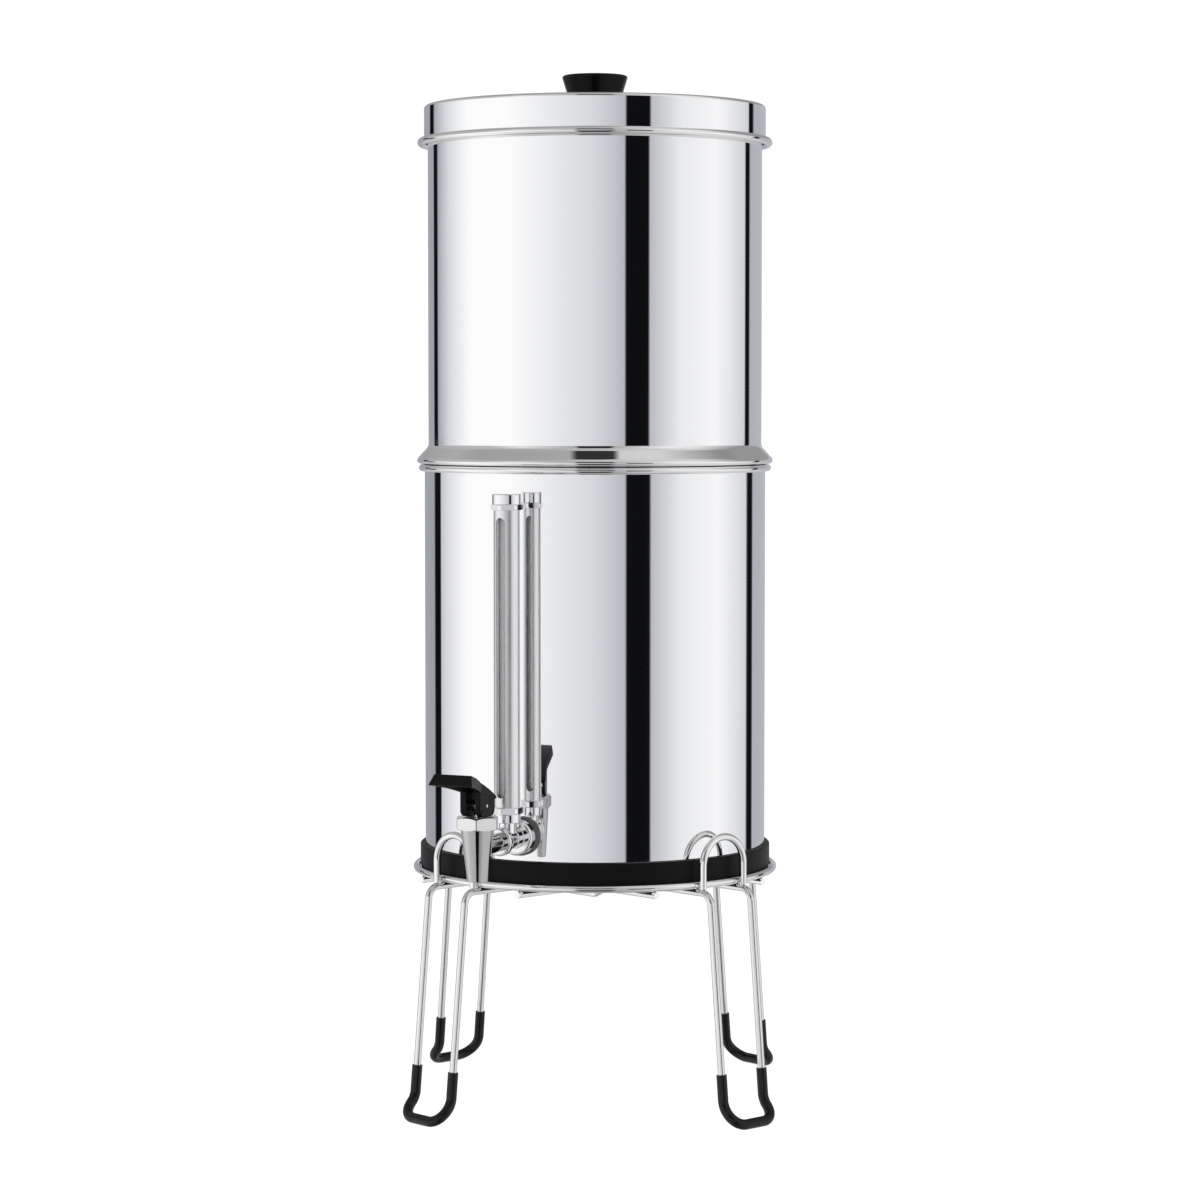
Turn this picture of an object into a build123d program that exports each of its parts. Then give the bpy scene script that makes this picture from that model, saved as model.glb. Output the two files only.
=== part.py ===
from build123d import *
import os
from math import cos, degrees, radians, sin, sqrt, tan

# A gravity water filter: two nested steel chambers on a wire stand, with a sight glass and a
# lever tap. Millimetres, +Z up. The origin lies on the chambers' axis, on the surface that the
# feet stand on, and the tap points along -Y.

# ---- Fits and sheet ----
gap = 0.3  # between pieces that lift or swing apart
running_fit = 0.05  # radial play of a pin or stem in its bore
thread_play = 0.15  # radial play of a thread in a plain hole
sheet = 0.8  # stainless sheet of the chambers and the lid

# ---- Wire stand ----
wire = 4.5  # wire diameter
ring_bottom = 144.4  # underside of the support ring
leg_turn = -23.2  # first leg, in degrees from the tap towards +X
leg_spacing = 34.2  # between the two wires of one leg
leg_overhang = 9.6  # top corner of a leg beyond the ring's centre line
leg_bend = 7.5  # bend radius there
leg_splay = 5.25  # degrees that the legs lean outwards
ankle_height = 13.5  # where a leg kicks out into its foot
ankle_bend = 10.0
foot_kick = 10.0  # cross bar of the foot beyond the ankle
foot_bend = 9.6
sleeve_wall = 0.95  # rubber dipped over the foot
sleeve_wear = 0.2  # rubber worn flat where the foot stands
sleeve_height = 33.0  # where the rubber starts
sleeve_rounding = 0.7
rod_spacing = 91.0  # between the two straight rods of one direction
rod_overhang = 2.0  # rod end beyond the ring's centre line
joggle_margin = 4.5  # lower wires dip under the upper ones this far outside the outermost
joggle_length = 9.0
joggle_bend = 8.0
loop_rise = 33.1  # arched loops above the ring's underside

# ---- Rubber boot under the lower chamber ----
boot_wall = 3.2
boot_height = 17.2
boot_floor = 2.2
boot_lip = 20.0  # how far the boot's floor reaches inwards
boot_bottom_rounding = 4.0
boot_top_rounding = 1.0

# ---- Lower chamber ----
lower_radius = 107.5
lower_depth = 252.2  # from its floor to the centre of its rolled rim
lower_corner = 6.4  # outer radius between floor and wall
lower_curl = 1.8  # centre-line radius of the rolled rim
curl_sweep = 300.0  # degrees that the sheet is rolled round

# ---- Upper chamber ----
nest_play = 1.7  # radial, inside the lower chamber
upper_depth = 25.5  # how deep it nests below its ledge
upper_height = 219.2  # from its ledge to its rim
upper_corner = 6.4
flare_reach = 6.7  # nose of the pressed ledge beyond the wall
flare_nose = 2.3  # centre-line radius of the nose
flare_slope = 46.6  # degrees above level of the ledge's upper face
flare_root = 1.2  # bend below the ledge
flare_blend = 5.0  # bend above the ledge
hem = 0.5  # centre-line radius of the folded top edge
hem_length = 2.5

# ---- Lid ----
lid_play = 0.5  # radial, round the upper chamber's rim
lid_corner = 7.0
lid_skirt = 22.8  # from the top to the centre of the rolled edge
lid_curl = 2.1

# ---- Knob and its screw ----
knob_height = 19.35
knob_top_diameter = 42.0  # before its edge is rounded
knob_foot_diameter = 30.0
knob_rounding = 1.6
knob_foot_rounding = 0.4
screw_diameter = 5.0
screw_head_diameter = 9.5
screw_head_height = 3.0
screw_head_rounding = 0.8
screw_reach = 12.0  # into the knob
slot_width = 1.4
slot_depth = 1.2
washer_diameter = 14.0
washer_thickness = 1.0

# ---- Filter elements ----
filter_margin = 26.0  # from the bases to the chamber's wall
filter_headroom = 30.0  # from the caps to the chamber's rim
filter_diameter = 56.0
filter_bore = 14.0
filter_cap_wall = 2.0
filter_cap_height = 6.0
filter_cap_rounding = 1.5
filter_recess = 3.0  # how far the block sits in its cap and in its base
filter_base_diameter = 64.0
filter_base_height = 8.0
stem_diameter = 12.0
stem_length = 30.0  # below the chamber's floor
stem_bore = 6.0
filter_seal_diameter = 26.0
filter_seal_thickness = 2.0
wing_hub_diameter = 20.0
wing_hub_height = 9.0
wing_span = 40.0
wing_drop = 4.0  # wing tips below the hub
wing_thickness = 3.0
wing_rounding = 3.0

# ---- Tap line: wall fitting and sight tee ----
wall_seal_rise = 3.6  # outer seal above the boot
wall_seal_diameter = 23.6
wall_seal_thickness = 3.0
flange_diameter = 22.0
flange_thickness = 7.0
flange_rounding = 2.0
stub_diameter = 12.0  # threaded stub through the wall
stub_spare = 4.0  # thread beyond the nut
wall_nut_width = 20.0  # across flats
wall_nut_thickness = 5.0
nut_edge = 0.6  # corners turned off hexagons
water_bore = 7.0
tee_diameter = 12.6
tee_tail = 8.5  # from the sight glass axis to the tee's end
tap_thread_diameter = 9.2
tap_thread_length = 5.0
sight_standoff = 20.5  # sight glass axis from the chamber's wall
neck_boss_diameter = 10.0  # between the barrel and the neck
neck_diameter = 16.2
neck_height = 5.4  # below its nut
neck_thread_diameter = 13.0
neck_bore = 6.0
neck_rise = 18.0  # above the tap line
collar_diameter = 17.2  # of the collar and of the washer under it
collar_washer_thickness = 1.0
collar_thickness = 3.5
collar_rounding = 1.6

# ---- Sight glass ----
sight_headroom = 23.15  # from the shield's top to the rim's centre
glass_diameter = 10.0
glass_wall = 1.0
glass_fit = 0.1  # radial play round the glass
glass_in_cap = 2.5
sight_nut_width = 18.0  # across flats, with a corner facing outwards
bottom_nut_grip = 2.0  # over the neck's thread
bottom_nut_rise = 2.1  # above the neck
shield_diameter = 15.8
shield_wall = 0.7
window_width = 6.2  # slots of the shield, one facing the wall and one facing outwards
window_turn = -5.0  # outer slot, in degrees from the tap towards +X
window_sill = 5.7
window_head = 4.6
top_nut_height = 3.45
cap_diameter = 17.6
cap_height = 6.25
cap_rounding = 0.6
seal_thickness = 1.0
seal_width = 2.0

# ---- Tap ----
shank_length = 31.8  # from the tee to the valve's axis
shank_diameter = 11.4
shank_bore = 6.0
cone_rise = 11.1  # top of the cone above the tap line
cone_drop = 20.1  # spout below the tap line
cone_top_diameter = 19.9
cone_bottom_diameter = 12.2
valve_bore = 13.0
outlet_bore = 8.4
seat_drop = 4.0  # valve seat below the tap line
spout_rounding = 0.6
bonnet_width = 23.8  # across flats
bonnet_height = 7.4
bonnet_turn = 23.2  # one corner of the hexagon, in degrees from the tap towards +X
bonnet_spigot = 5.0
bonnet_edge = 1.0

# ---- Valve stem, cup and spring ----
valve_stem_diameter = 4.0
pin_rise = 6.65  # pin above the bonnet with the tap closed
stem_eye_radius = 3.4
cup_diameter = 10.4
cup_height = 3.4
cup_rounding = 0.8
stem_in_cup = 2.0
spring_wire = 0.8
spring_diameter = 10.2  # outside
spring_turns = 3.5

# ---- Lever ----
pin_diameter = 2.4
ear_thickness = 3.6
yoke_gap = 6.1
valve_lift = 2.6  # of the stem over the whole swing
lever_swing = 45.0  # degrees
yoke_back = 9.6  # ears behind the pin
yoke_rounding = 4.0
cam_rounding = 2.5  # between a cam and the front of its ear
hood_overhang = 1.2  # hood beyond the back of the ears
hood_reach = 0.6  # hood beyond the sides of the ears
hood_lip = 2.0  # height of the hood's back edge
hood_back_height = 5.3  # top face above the pin, at its back end
lever_tip_reach = 32.6
lever_tip_height = 21.4
lever_toe_reach = 36.7  # lower edge of the tip
lever_toe_height = 15.1
lever_arch = 1.8  # top face above the chord between its ends
throat_height = 8.6  # underside in front of the ears
lever_tip_width = 26.4  # along the upper edge
lever_toe_width = 29.0  # along the lower edge
lever_edge = 0.8  # rounding of the hood's upper edges
lever_wall = 2.2
lever_roof = 2.4

os.makedirs("parts", exist_ok=True)


def save(piece, name):
    piece.label = name
    export_step(piece, f"parts/{name}.step")


def hexagon(width, thickness, edge):
    # Hexagonal prism on the XY plane with its corners turned off at both ends.
    corner = width / 2 / cos(radians(30))
    with BuildPart() as prism:
        with BuildSketch():
            RegularPolygon(width / 2, 6, major_radius=False)
        extrude(amount=thickness)
        with BuildSketch(Plane.XZ):
            with BuildLine():
                Polyline(
                    (0, 0),
                    (width / 2, 0),
                    (corner, edge),
                    (corner, thickness - edge),
                    (width / 2, thickness),
                    (0, thickness),
                    close=True,
                )
            make_face()
        revolve(axis=Axis.Z, mode=Mode.INTERSECT)
    return prism.part


# ---- Heights, from the stand upwards ----
ring_height = ring_bottom + wire / 2
rod_height = ring_bottom - wire / 2  # level wires lie under the ring
lower_wire_height = rod_height - wire  # and cross under each other in the middle
boot_bottom = ring_bottom + gap
boot_top = boot_bottom + boot_height
lower_floor = boot_bottom + boot_floor
lower_curl_height = lower_floor + lower_depth
ledge_bottom = lower_curl_height + lower_curl + sheet / 2 + gap
upper_floor = ledge_bottom - upper_depth
upper_rim = ledge_bottom + upper_height
tap_height = boot_top + wall_seal_rise + wall_seal_diameter / 2

# ---- Reaches, from the axis outwards ----
upper_radius = lower_radius - sheet - nest_play
boot_radius = lower_radius + boot_wall
# The boot's rounded edge nests in the ring, a gap apart.
ring_overlap = 2 * sqrt((boot_bottom_rounding + gap) * wire / 2)
ring_radius = boot_radius - boot_bottom_rounding + ring_overlap
leg_corner_reach = ring_radius + leg_overhang
ankle_reach = leg_corner_reach + (rod_height - ankle_height) * tan(radians(leg_splay))
foot_reach = ankle_reach + foot_kick
sleeve_radius = wire / 2 + sleeve_wall
foot_height = sleeve_radius - sleeve_wear
sight_reach = lower_radius + sight_standoff
tee_end = sight_reach + tee_tail
valve_reach = tee_end + shank_length


def outward_at(turn):
    return Vector(sin(radians(turn)), -cos(radians(turn)), 0)


def stand_point(turn, reach, side, height):
    outward = outward_at(turn)
    across = Vector(-outward.Y, outward.X, 0)
    return outward * reach + across * side + Vector(0, 0, height)


def foot_points(turn, start_height):
    # Down one wire of a leg, round its foot and up the other wire.
    half = leg_spacing / 2
    start_reach = leg_corner_reach + (rod_height - start_height) * tan(radians(leg_splay))
    down = [(start_reach, start_height), (ankle_reach, ankle_height), (foot_reach, foot_height)]
    one = [stand_point(turn, reach, half, height) for reach, height in down]
    other = [stand_point(turn, reach, -half, height) for reach, height in reversed(down)]
    return one + other


def level_points(turn, side, dips, end):
    # Level wire from the middle of the stand out to a given reach, over or under the others.
    if not dips:
        return [stand_point(turn, 0, side, rod_height), stand_point(turn, end, side, rod_height)]
    dip_end = rod_spacing / 2 + joggle_margin
    return [
        stand_point(turn, 0, side, lower_wire_height),
        stand_point(turn, dip_end, side, lower_wire_height),
        stand_point(turn, dip_end + joggle_length, side, rod_height),
        stand_point(turn, end, side, rod_height),
    ]


leg_turns = [leg_turn + 90 * number for number in range(4)]

# ---- Support ring ----
with BuildPart() as support_ring:
    with BuildSketch(Plane.XZ):
        with Locations((ring_radius, ring_height)):
            Circle(wire / 2)
    revolve(axis=Axis.Z)
save(support_ring.part, "support_ring")

# ---- Straight rods under the ring, two each way ----
rod_end = sqrt((ring_radius + rod_overhang) ** 2 - (rod_spacing / 2) ** 2)
with BuildPart() as cross_rods:
    for turn, dips in [(leg_turns[0], False), (leg_turns[1], True)]:
        for side in (-rod_spacing / 2, rod_spacing / 2):
            half_rod = level_points(turn, side, dips, rod_end)
            far_half = level_points(turn + 180, -side, dips, rod_end)
            points = far_half[:0:-1] + half_rod[1:]
            with BuildLine() as rod_line:
                if dips:
                    FilletPolyline(*points, radius=joggle_bend)
                else:
                    Line(*points)
            with BuildSketch(Plane(rod_line.line @ 0, z_dir=rod_line.line % 0)):
                Circle(wire / 2)
            sweep(path=rod_line.wires()[0])
save(cross_rods.part, "cross_rods")

# ---- Legs: from the middle out, down, round the foot and back ----
for number, turn in enumerate(leg_turns, start=1):
    dips = number % 2 == 0
    half = leg_spacing / 2
    out = level_points(turn, half, dips, leg_corner_reach)
    back = level_points(turn, -half, dips, leg_corner_reach)[::-1]
    foot = foot_points(turn, rod_height)[1:-1]
    joggle_bends = [joggle_bend] * (len(out) - 2)
    foot_bends = [leg_bend, ankle_bend, foot_bend, foot_bend, ankle_bend, leg_bend]
    bends = joggle_bends + foot_bends + joggle_bends
    with BuildPart() as leg_wire:
        with BuildLine() as leg_line:
            FilletPolyline(*(out + foot + back), radius=bends)
        with BuildSketch(Plane(leg_line.line @ 0, z_dir=leg_line.line % 0)):
            Circle(wire / 2)
        sweep(path=leg_line.wires()[0])
    save(leg_wire.part, f"leg_wire_{number}")

    # Rubber sleeve over the foot, with a worn flat where it stands.
    with BuildPart() as foot_sleeve:
        with BuildLine() as foot_line:
            FilletPolyline(*foot_points(turn, sleeve_height), radius=foot_bends[1:-1])
        with BuildSketch(Plane(foot_line.line @ 0, z_dir=foot_line.line % 0)):
            Circle(sleeve_radius)
        sweep(path=foot_line.wires()[0])
        fillet(foot_sleeve.edges().group_by(Axis.Z)[-1], radius=sleeve_rounding)
        with BuildSketch(Plane(foot_line.line @ 0, z_dir=foot_line.line % 0)):
            Circle(wire / 2)
        sweep(path=foot_line.wires()[0], mode=Mode.SUBTRACT)
        split(bisect_by=Plane.XY, keep=Keep.TOP)
    save(foot_sleeve.part, f"foot_sleeve_{number}")

# ---- Arched loops outside the ring, above each leg ----
loop_reach = sqrt((ring_radius + wire) ** 2 - (leg_spacing / 2) ** 2)
loop_foot = rod_height + wire / 2
loop_crown = ring_bottom + loop_rise - wire / 2
loop_shoulder = loop_crown - leg_spacing / 2
for number, turn in enumerate(leg_turns, start=1):
    half = leg_spacing / 2
    ends = [stand_point(turn, loop_reach, side, loop_foot) for side in (half, -half)]
    shoulders = [stand_point(turn, loop_reach, side, loop_shoulder) for side in (half, -half)]
    crown = stand_point(turn, loop_reach, 0, loop_crown)
    with BuildPart() as retaining_loop:
        with BuildLine() as loop_line:
            Line(ends[0], shoulders[0])
            ThreePointArc(shoulders[0], crown, shoulders[1])
            Line(shoulders[1], ends[1])
        with BuildSketch(Plane(ends[0], z_dir=(0, 0, 1))):
            Circle(wire / 2)
        sweep(path=loop_line.wires()[0])
    save(retaining_loop.part, f"retaining_loop_{number}")

# ---- Rubber boot ----
with BuildPart() as base_boot:
    with BuildSketch(Plane.XZ):
        with BuildLine():
            FilletPolyline(
                (boot_radius - boot_lip, boot_bottom),
                (boot_radius, boot_bottom),
                (boot_radius, boot_top),
                (lower_radius, boot_top),
                (lower_radius, lower_floor),
                (boot_radius - boot_lip, lower_floor),
                radius=[0, boot_bottom_rounding, boot_top_rounding, 0, lower_corner, 0],
                close=True,
            )
        make_face()
    revolve(axis=Axis.Z)
save(base_boot.part, "base_boot")

# ---- Lower chamber: drawn cup with a rim rolled outwards ----
lower_line_radius = lower_radius - sheet / 2
with BuildPart() as lower_chamber:
    with BuildSketch(Plane.XZ):
        with BuildLine():
            cup = FilletPolyline(
                (0, lower_floor + sheet / 2),
                (lower_line_radius, lower_floor + sheet / 2),
                (lower_line_radius, lower_curl_height),
                radius=lower_corner - sheet / 2,
            )
            JernArc(cup @ 1, cup % 1, lower_curl, -curl_sweep)
        trace(line_width=sheet)
    revolve(axis=Axis.Z)
    with BuildSketch(Plane.XZ.offset(lower_radius / 2)):
        with Locations((0, tap_height)):
            Circle(stub_diameter / 2 + thread_play)
    extrude(amount=lower_radius, mode=Mode.SUBTRACT)
save(lower_chamber.part, "lower_chamber")

# ---- Upper chamber: cup with a pressed ledge that rests on the lower rim ----
upper_line_radius = upper_radius - sheet / 2
nose_centre = upper_radius + flare_reach - sheet / 2 - flare_nose
nose_corner = nose_centre + flare_nose * tan(radians((180 - flare_slope) / 2))
ledge_line = ledge_bottom + sheet / 2
ledge_top = ledge_line + (nose_corner - upper_line_radius) * tan(radians(flare_slope))
with BuildPart() as upper_chamber:
    with BuildSketch(Plane.XZ):
        with BuildLine():
            cup = FilletPolyline(
                (0, upper_floor + sheet / 2),
                (upper_line_radius, upper_floor + sheet / 2),
                (upper_line_radius, ledge_line),
                (nose_corner, ledge_line),
                (upper_line_radius, ledge_top),
                (upper_line_radius, upper_rim - hem - sheet / 2),
                radius=[upper_corner - sheet / 2, flare_root, flare_nose, flare_blend],
            )
            fold = JernArc(cup @ 1, cup % 1, hem, -180)
            Line(fold @ 1, fold @ 1 - Vector(0, hem_length))
        trace(line_width=sheet)
    revolve(axis=Axis.Z)
    filter_offset = upper_radius - filter_margin - filter_base_diameter / 2
    with BuildSketch(Plane.XY.offset(upper_floor)):
        with Locations((-filter_offset, 0), (filter_offset, 0)):
            Circle(stem_diameter / 2 + thread_play)
    extrude(amount=sheet, mode=Mode.SUBTRACT)
save(upper_chamber.part, "upper_chamber")

# ---- Filter elements: base with a threaded stem, carbon block, end cap ----
seal_bottom = upper_floor + sheet
base_bottom = seal_bottom + filter_seal_thickness
base_top = base_bottom + filter_base_height
block_bottom = base_top - filter_recess
cap_top = upper_rim - filter_headroom
cap_bottom = cap_top - filter_cap_height
block_top = cap_bottom + filter_recess
for number, side in enumerate((-filter_offset, filter_offset), start=1):
    with BuildPart() as filter_base:
        with BuildSketch(Plane.XY.offset(base_bottom)):
            with Locations((side, 0)):
                Circle(filter_base_diameter / 2)
        extrude(amount=filter_base_height)
        with BuildSketch(Plane.XY.offset(block_bottom)):
            with Locations((side, 0)):
                Circle(filter_diameter / 2)
        extrude(amount=filter_recess, mode=Mode.SUBTRACT)
        with BuildSketch(Plane.XY.offset(upper_floor - stem_length)):
            with Locations((side, 0)):
                Circle(stem_diameter / 2)
        extrude(amount=stem_length + sheet + filter_seal_thickness)
        with BuildSketch(Plane.XY.offset(upper_floor - stem_length)):
            with Locations((side, 0)):
                Circle(stem_bore / 2)
        extrude(amount=block_bottom - upper_floor + stem_length, mode=Mode.SUBTRACT)
    save(filter_base.part, f"filter_base_{number}")

    with BuildPart() as carbon_block:
        with BuildSketch(Plane.XY.offset(block_bottom)):
            with Locations((side, 0)):
                Circle(filter_diameter / 2)
                Circle(filter_bore / 2, mode=Mode.SUBTRACT)
        extrude(amount=block_top - block_bottom)
    save(carbon_block.part, f"carbon_block_{number}")

    with BuildPart() as filter_cap:
        with BuildSketch(Plane.XY.offset(cap_bottom)):
            with Locations((side, 0)):
                Circle(filter_diameter / 2 + filter_cap_wall)
        extrude(amount=filter_cap_height)
        fillet(filter_cap.edges().group_by(Axis.Z)[-1], radius=filter_cap_rounding)
        with BuildSketch(Plane.XY.offset(cap_bottom)):
            with Locations((side, 0)):
                Circle(filter_diameter / 2)
        extrude(amount=filter_recess, mode=Mode.SUBTRACT)
    save(filter_cap.part, f"filter_cap_{number}")

with BuildPart() as filter_seals:
    with BuildSketch(Plane.XY.offset(seal_bottom)):
        with Locations((-filter_offset, 0), (filter_offset, 0)):
            Circle(filter_seal_diameter / 2)
            Circle(stem_diameter / 2, mode=Mode.SUBTRACT)
    extrude(amount=filter_seal_thickness)
save(filter_seals.part, "filter_seals")

# ---- Wing nuts under the upper chamber's floor ----
with BuildPart() as wing_nuts:
    with BuildSketch(Plane.XY.offset(upper_floor - wing_hub_height)):
        with Locations((-filter_offset, 0), (filter_offset, 0)):
            Circle(wing_hub_diameter / 2)
    extrude(amount=wing_hub_height)
    wing_height = wing_hub_height + wing_drop
    wing_middle = upper_floor - wing_drop - wing_hub_height / 2
    with BuildSketch(Plane.XZ):
        with Locations((-filter_offset, wing_middle), (filter_offset, wing_middle)):
            RectangleRounded(wing_span, wing_hub_height, wing_rounding)
    extrude(amount=wing_thickness / 2, both=True)
    with BuildSketch(Plane.XY.offset(upper_floor)):
        with Locations((-filter_offset, 0), (filter_offset, 0)):
            Circle(stem_diameter / 2)
    extrude(amount=-wing_height, mode=Mode.SUBTRACT)
save(wing_nuts.part, "wing_nuts")

# ---- Lid with a rolled edge ----
# The rim's fold rests in the lid's rounded corner, a gap from it.
lid_line_radius = upper_radius + 2 * hem + lid_play + sheet / 2
rim_fold = hem + sheet / 2
seat_swing = lid_corner - sheet - rim_fold - gap
seat_shift = lid_corner - sheet - rim_fold - lid_play
lid_top = upper_rim - rim_fold - sqrt(seat_swing**2 - seat_shift**2) + lid_corner
lid_curl_height = lid_top - lid_skirt
with BuildPart() as lid:
    with BuildSketch(Plane.XZ):
        with BuildLine():
            cover = FilletPolyline(
                (screw_diameter / 2 + thread_play, lid_top - sheet / 2),
                (lid_line_radius, lid_top - sheet / 2),
                (lid_line_radius, lid_curl_height),
                radius=lid_corner - sheet / 2,
            )
            JernArc(cover @ 1, cover % 1, lid_curl, curl_sweep)
        trace(line_width=sheet)
    revolve(axis=Axis.Z)
save(lid.part, "lid")

# ---- Knob, tapering down to the lid ----
with BuildPart() as lid_knob:
    with BuildSketch(Plane.XZ):
        with BuildLine():
            FilletPolyline(
                (0, lid_top),
                (knob_foot_diameter / 2, lid_top),
                (knob_top_diameter / 2, lid_top + knob_height),
                (0, lid_top + knob_height),
                radius=[0, knob_foot_rounding, knob_rounding, 0],
                close=True,
            )
        make_face()
    revolve(axis=Axis.Z)
    with BuildSketch(Plane.XY.offset(lid_top)):
        Circle(screw_diameter / 2)
    extrude(amount=screw_reach, mode=Mode.SUBTRACT)
save(lid_knob.part, "lid_knob")

# ---- Screw and washer that hold the knob from below ----
washer_bottom = lid_top - sheet - washer_thickness
with BuildPart() as knob_washer:
    with BuildSketch(Plane.XY.offset(washer_bottom)):
        Circle(washer_diameter / 2)
        Circle(screw_diameter / 2 + thread_play, mode=Mode.SUBTRACT)
    extrude(amount=washer_thickness)
save(knob_washer.part, "knob_washer")

with BuildPart() as knob_screw:
    with BuildSketch(Plane.XY.offset(washer_bottom - screw_head_height)):
        Circle(screw_head_diameter / 2)
    extrude(amount=screw_head_height)
    fillet(knob_screw.edges().group_by(Axis.Z)[0], radius=screw_head_rounding)
    with BuildSketch(Plane.XY.offset(washer_bottom - screw_head_height)):
        Rectangle(2 * screw_head_diameter, slot_width)
    extrude(amount=slot_depth, mode=Mode.SUBTRACT)
    with BuildSketch(Plane.XY.offset(washer_bottom)):
        Circle(screw_diameter / 2)
    extrude(amount=washer_thickness + sheet + screw_reach)
save(knob_screw.part, "knob_screw")

# ---- Sight tee: stub through the wall, flange, barrel and neck ----
# The tap line's planes face outwards along -Y, so a reach is an offset of Plane.XZ.
flange_inner = lower_radius + wall_seal_thickness
flange_outer = flange_inner + flange_thickness
inner_radius = lower_radius - sheet
nut_outer = inner_radius - wall_seal_thickness
stub_end = nut_outer - wall_nut_thickness - stub_spare
socket_bottom = tee_end - tap_thread_length
neck_top = tap_height + neck_rise
bottom_nut_bottom = neck_top - bottom_nut_grip
with BuildPart() as sight_tee:
    with BuildSketch(Plane.XZ.offset(stub_end)):
        with Locations((0, tap_height)):
            Circle(stub_diameter / 2)
    extrude(amount=flange_inner - stub_end)
    with BuildSketch(Plane.XZ.offset(flange_inner)):
        with Locations((0, tap_height)):
            Circle(flange_diameter / 2)
    extrude(amount=flange_thickness)
    fillet(sight_tee.edges().group_by(Axis.Y)[0], radius=flange_rounding)
    with BuildSketch(Plane.XZ.offset(flange_outer)):
        with Locations((0, tap_height)):
            Circle(tee_diameter / 2)
    extrude(amount=tee_end - flange_outer)
    with BuildSketch(Plane.XY.offset(tap_height)):
        with Locations((0, -sight_reach)):
            Circle(neck_boss_diameter / 2)
    extrude(amount=bottom_nut_bottom - tap_height)
    with BuildSketch(Plane.XY.offset(bottom_nut_bottom)):
        with Locations((0, -sight_reach)):
            Circle(neck_diameter / 2)
    extrude(amount=-neck_height)
    with BuildSketch(Plane.XY.offset(bottom_nut_bottom)):
        with Locations((0, -sight_reach)):
            Circle(neck_thread_diameter / 2)
    extrude(amount=bottom_nut_grip)
    with BuildSketch(Plane.XZ.offset(stub_end)):
        with Locations((0, tap_height)):
            Circle(water_bore / 2)
    extrude(amount=tee_end - stub_end, mode=Mode.SUBTRACT)
    with BuildSketch(Plane.XZ.offset(socket_bottom)):
        with Locations((0, tap_height)):
            Circle(tap_thread_diameter / 2)
    extrude(amount=tap_thread_length, mode=Mode.SUBTRACT)
    with BuildSketch(Plane.XY.offset(tap_height)):
        with Locations((0, -sight_reach)):
            Circle(neck_bore / 2)
    extrude(amount=neck_top - tap_height, mode=Mode.SUBTRACT)
save(sight_tee.part, "sight_tee")

# ---- Seals and nut that clamp the tee in the wall ----
with BuildPart() as wall_washer_outer:
    with BuildSketch(Plane.XZ.offset(flange_inner)):
        with Locations((0, tap_height)):
            Circle(wall_seal_diameter / 2)
            Circle(stub_diameter / 2, mode=Mode.SUBTRACT)
    extrude(amount=-flange_inner / 2)
    with BuildSketch(Plane.XY.offset(tap_height - wall_seal_diameter)):
        Circle(lower_radius)
    extrude(amount=2 * wall_seal_diameter, mode=Mode.SUBTRACT)
save(wall_washer_outer.part, "wall_washer_outer")

with BuildPart() as wall_washer_inner:
    with BuildSketch(Plane.XZ.offset(nut_outer)):
        with Locations((0, tap_height)):
            Circle(wall_seal_diameter / 2)
            Circle(stub_diameter / 2, mode=Mode.SUBTRACT)
    extrude(amount=flange_inner / 2)
    with BuildSketch(Plane.XY.offset(tap_height - wall_seal_diameter)):
        Circle(inner_radius)
    extrude(amount=2 * wall_seal_diameter, mode=Mode.INTERSECT)
save(wall_washer_inner.part, "wall_washer_inner")

nut_plane = Plane.XZ.offset(nut_outer - wall_nut_thickness)
with BuildPart() as wall_nut:
    with Locations(nut_plane.location * Location((0, tap_height, 0))):
        add(hexagon(wall_nut_width, wall_nut_thickness, nut_edge))
    with BuildSketch(nut_plane):
        with Locations((0, tap_height)):
            Circle(stub_diameter / 2)
    extrude(amount=wall_nut_thickness, mode=Mode.SUBTRACT)
save(wall_nut.part, "wall_nut")

# ---- Washer and collar between the tee and the tap ----
collar_inner = tee_end + collar_washer_thickness
with BuildPart() as tap_washer:
    with BuildSketch(Plane.XZ.offset(tee_end)):
        with Locations((0, tap_height)):
            Circle(collar_diameter / 2)
            Circle(shank_diameter / 2, mode=Mode.SUBTRACT)
    extrude(amount=collar_washer_thickness)
save(tap_washer.part, "tap_washer")

with BuildPart() as tap_collar:
    with BuildSketch(Plane.XZ.offset(collar_inner)):
        with Locations((0, tap_height)):
            Circle(collar_diameter / 2)
    extrude(amount=collar_thickness)
    fillet(tap_collar.edges().group_by(Axis.Y)[0], radius=collar_rounding)
    with BuildSketch(Plane.XZ.offset(collar_inner)):
        with Locations((0, tap_height)):
            Circle(shank_diameter / 2)
    extrude(amount=collar_thickness, mode=Mode.SUBTRACT)
save(tap_collar.part, "tap_collar")

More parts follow.
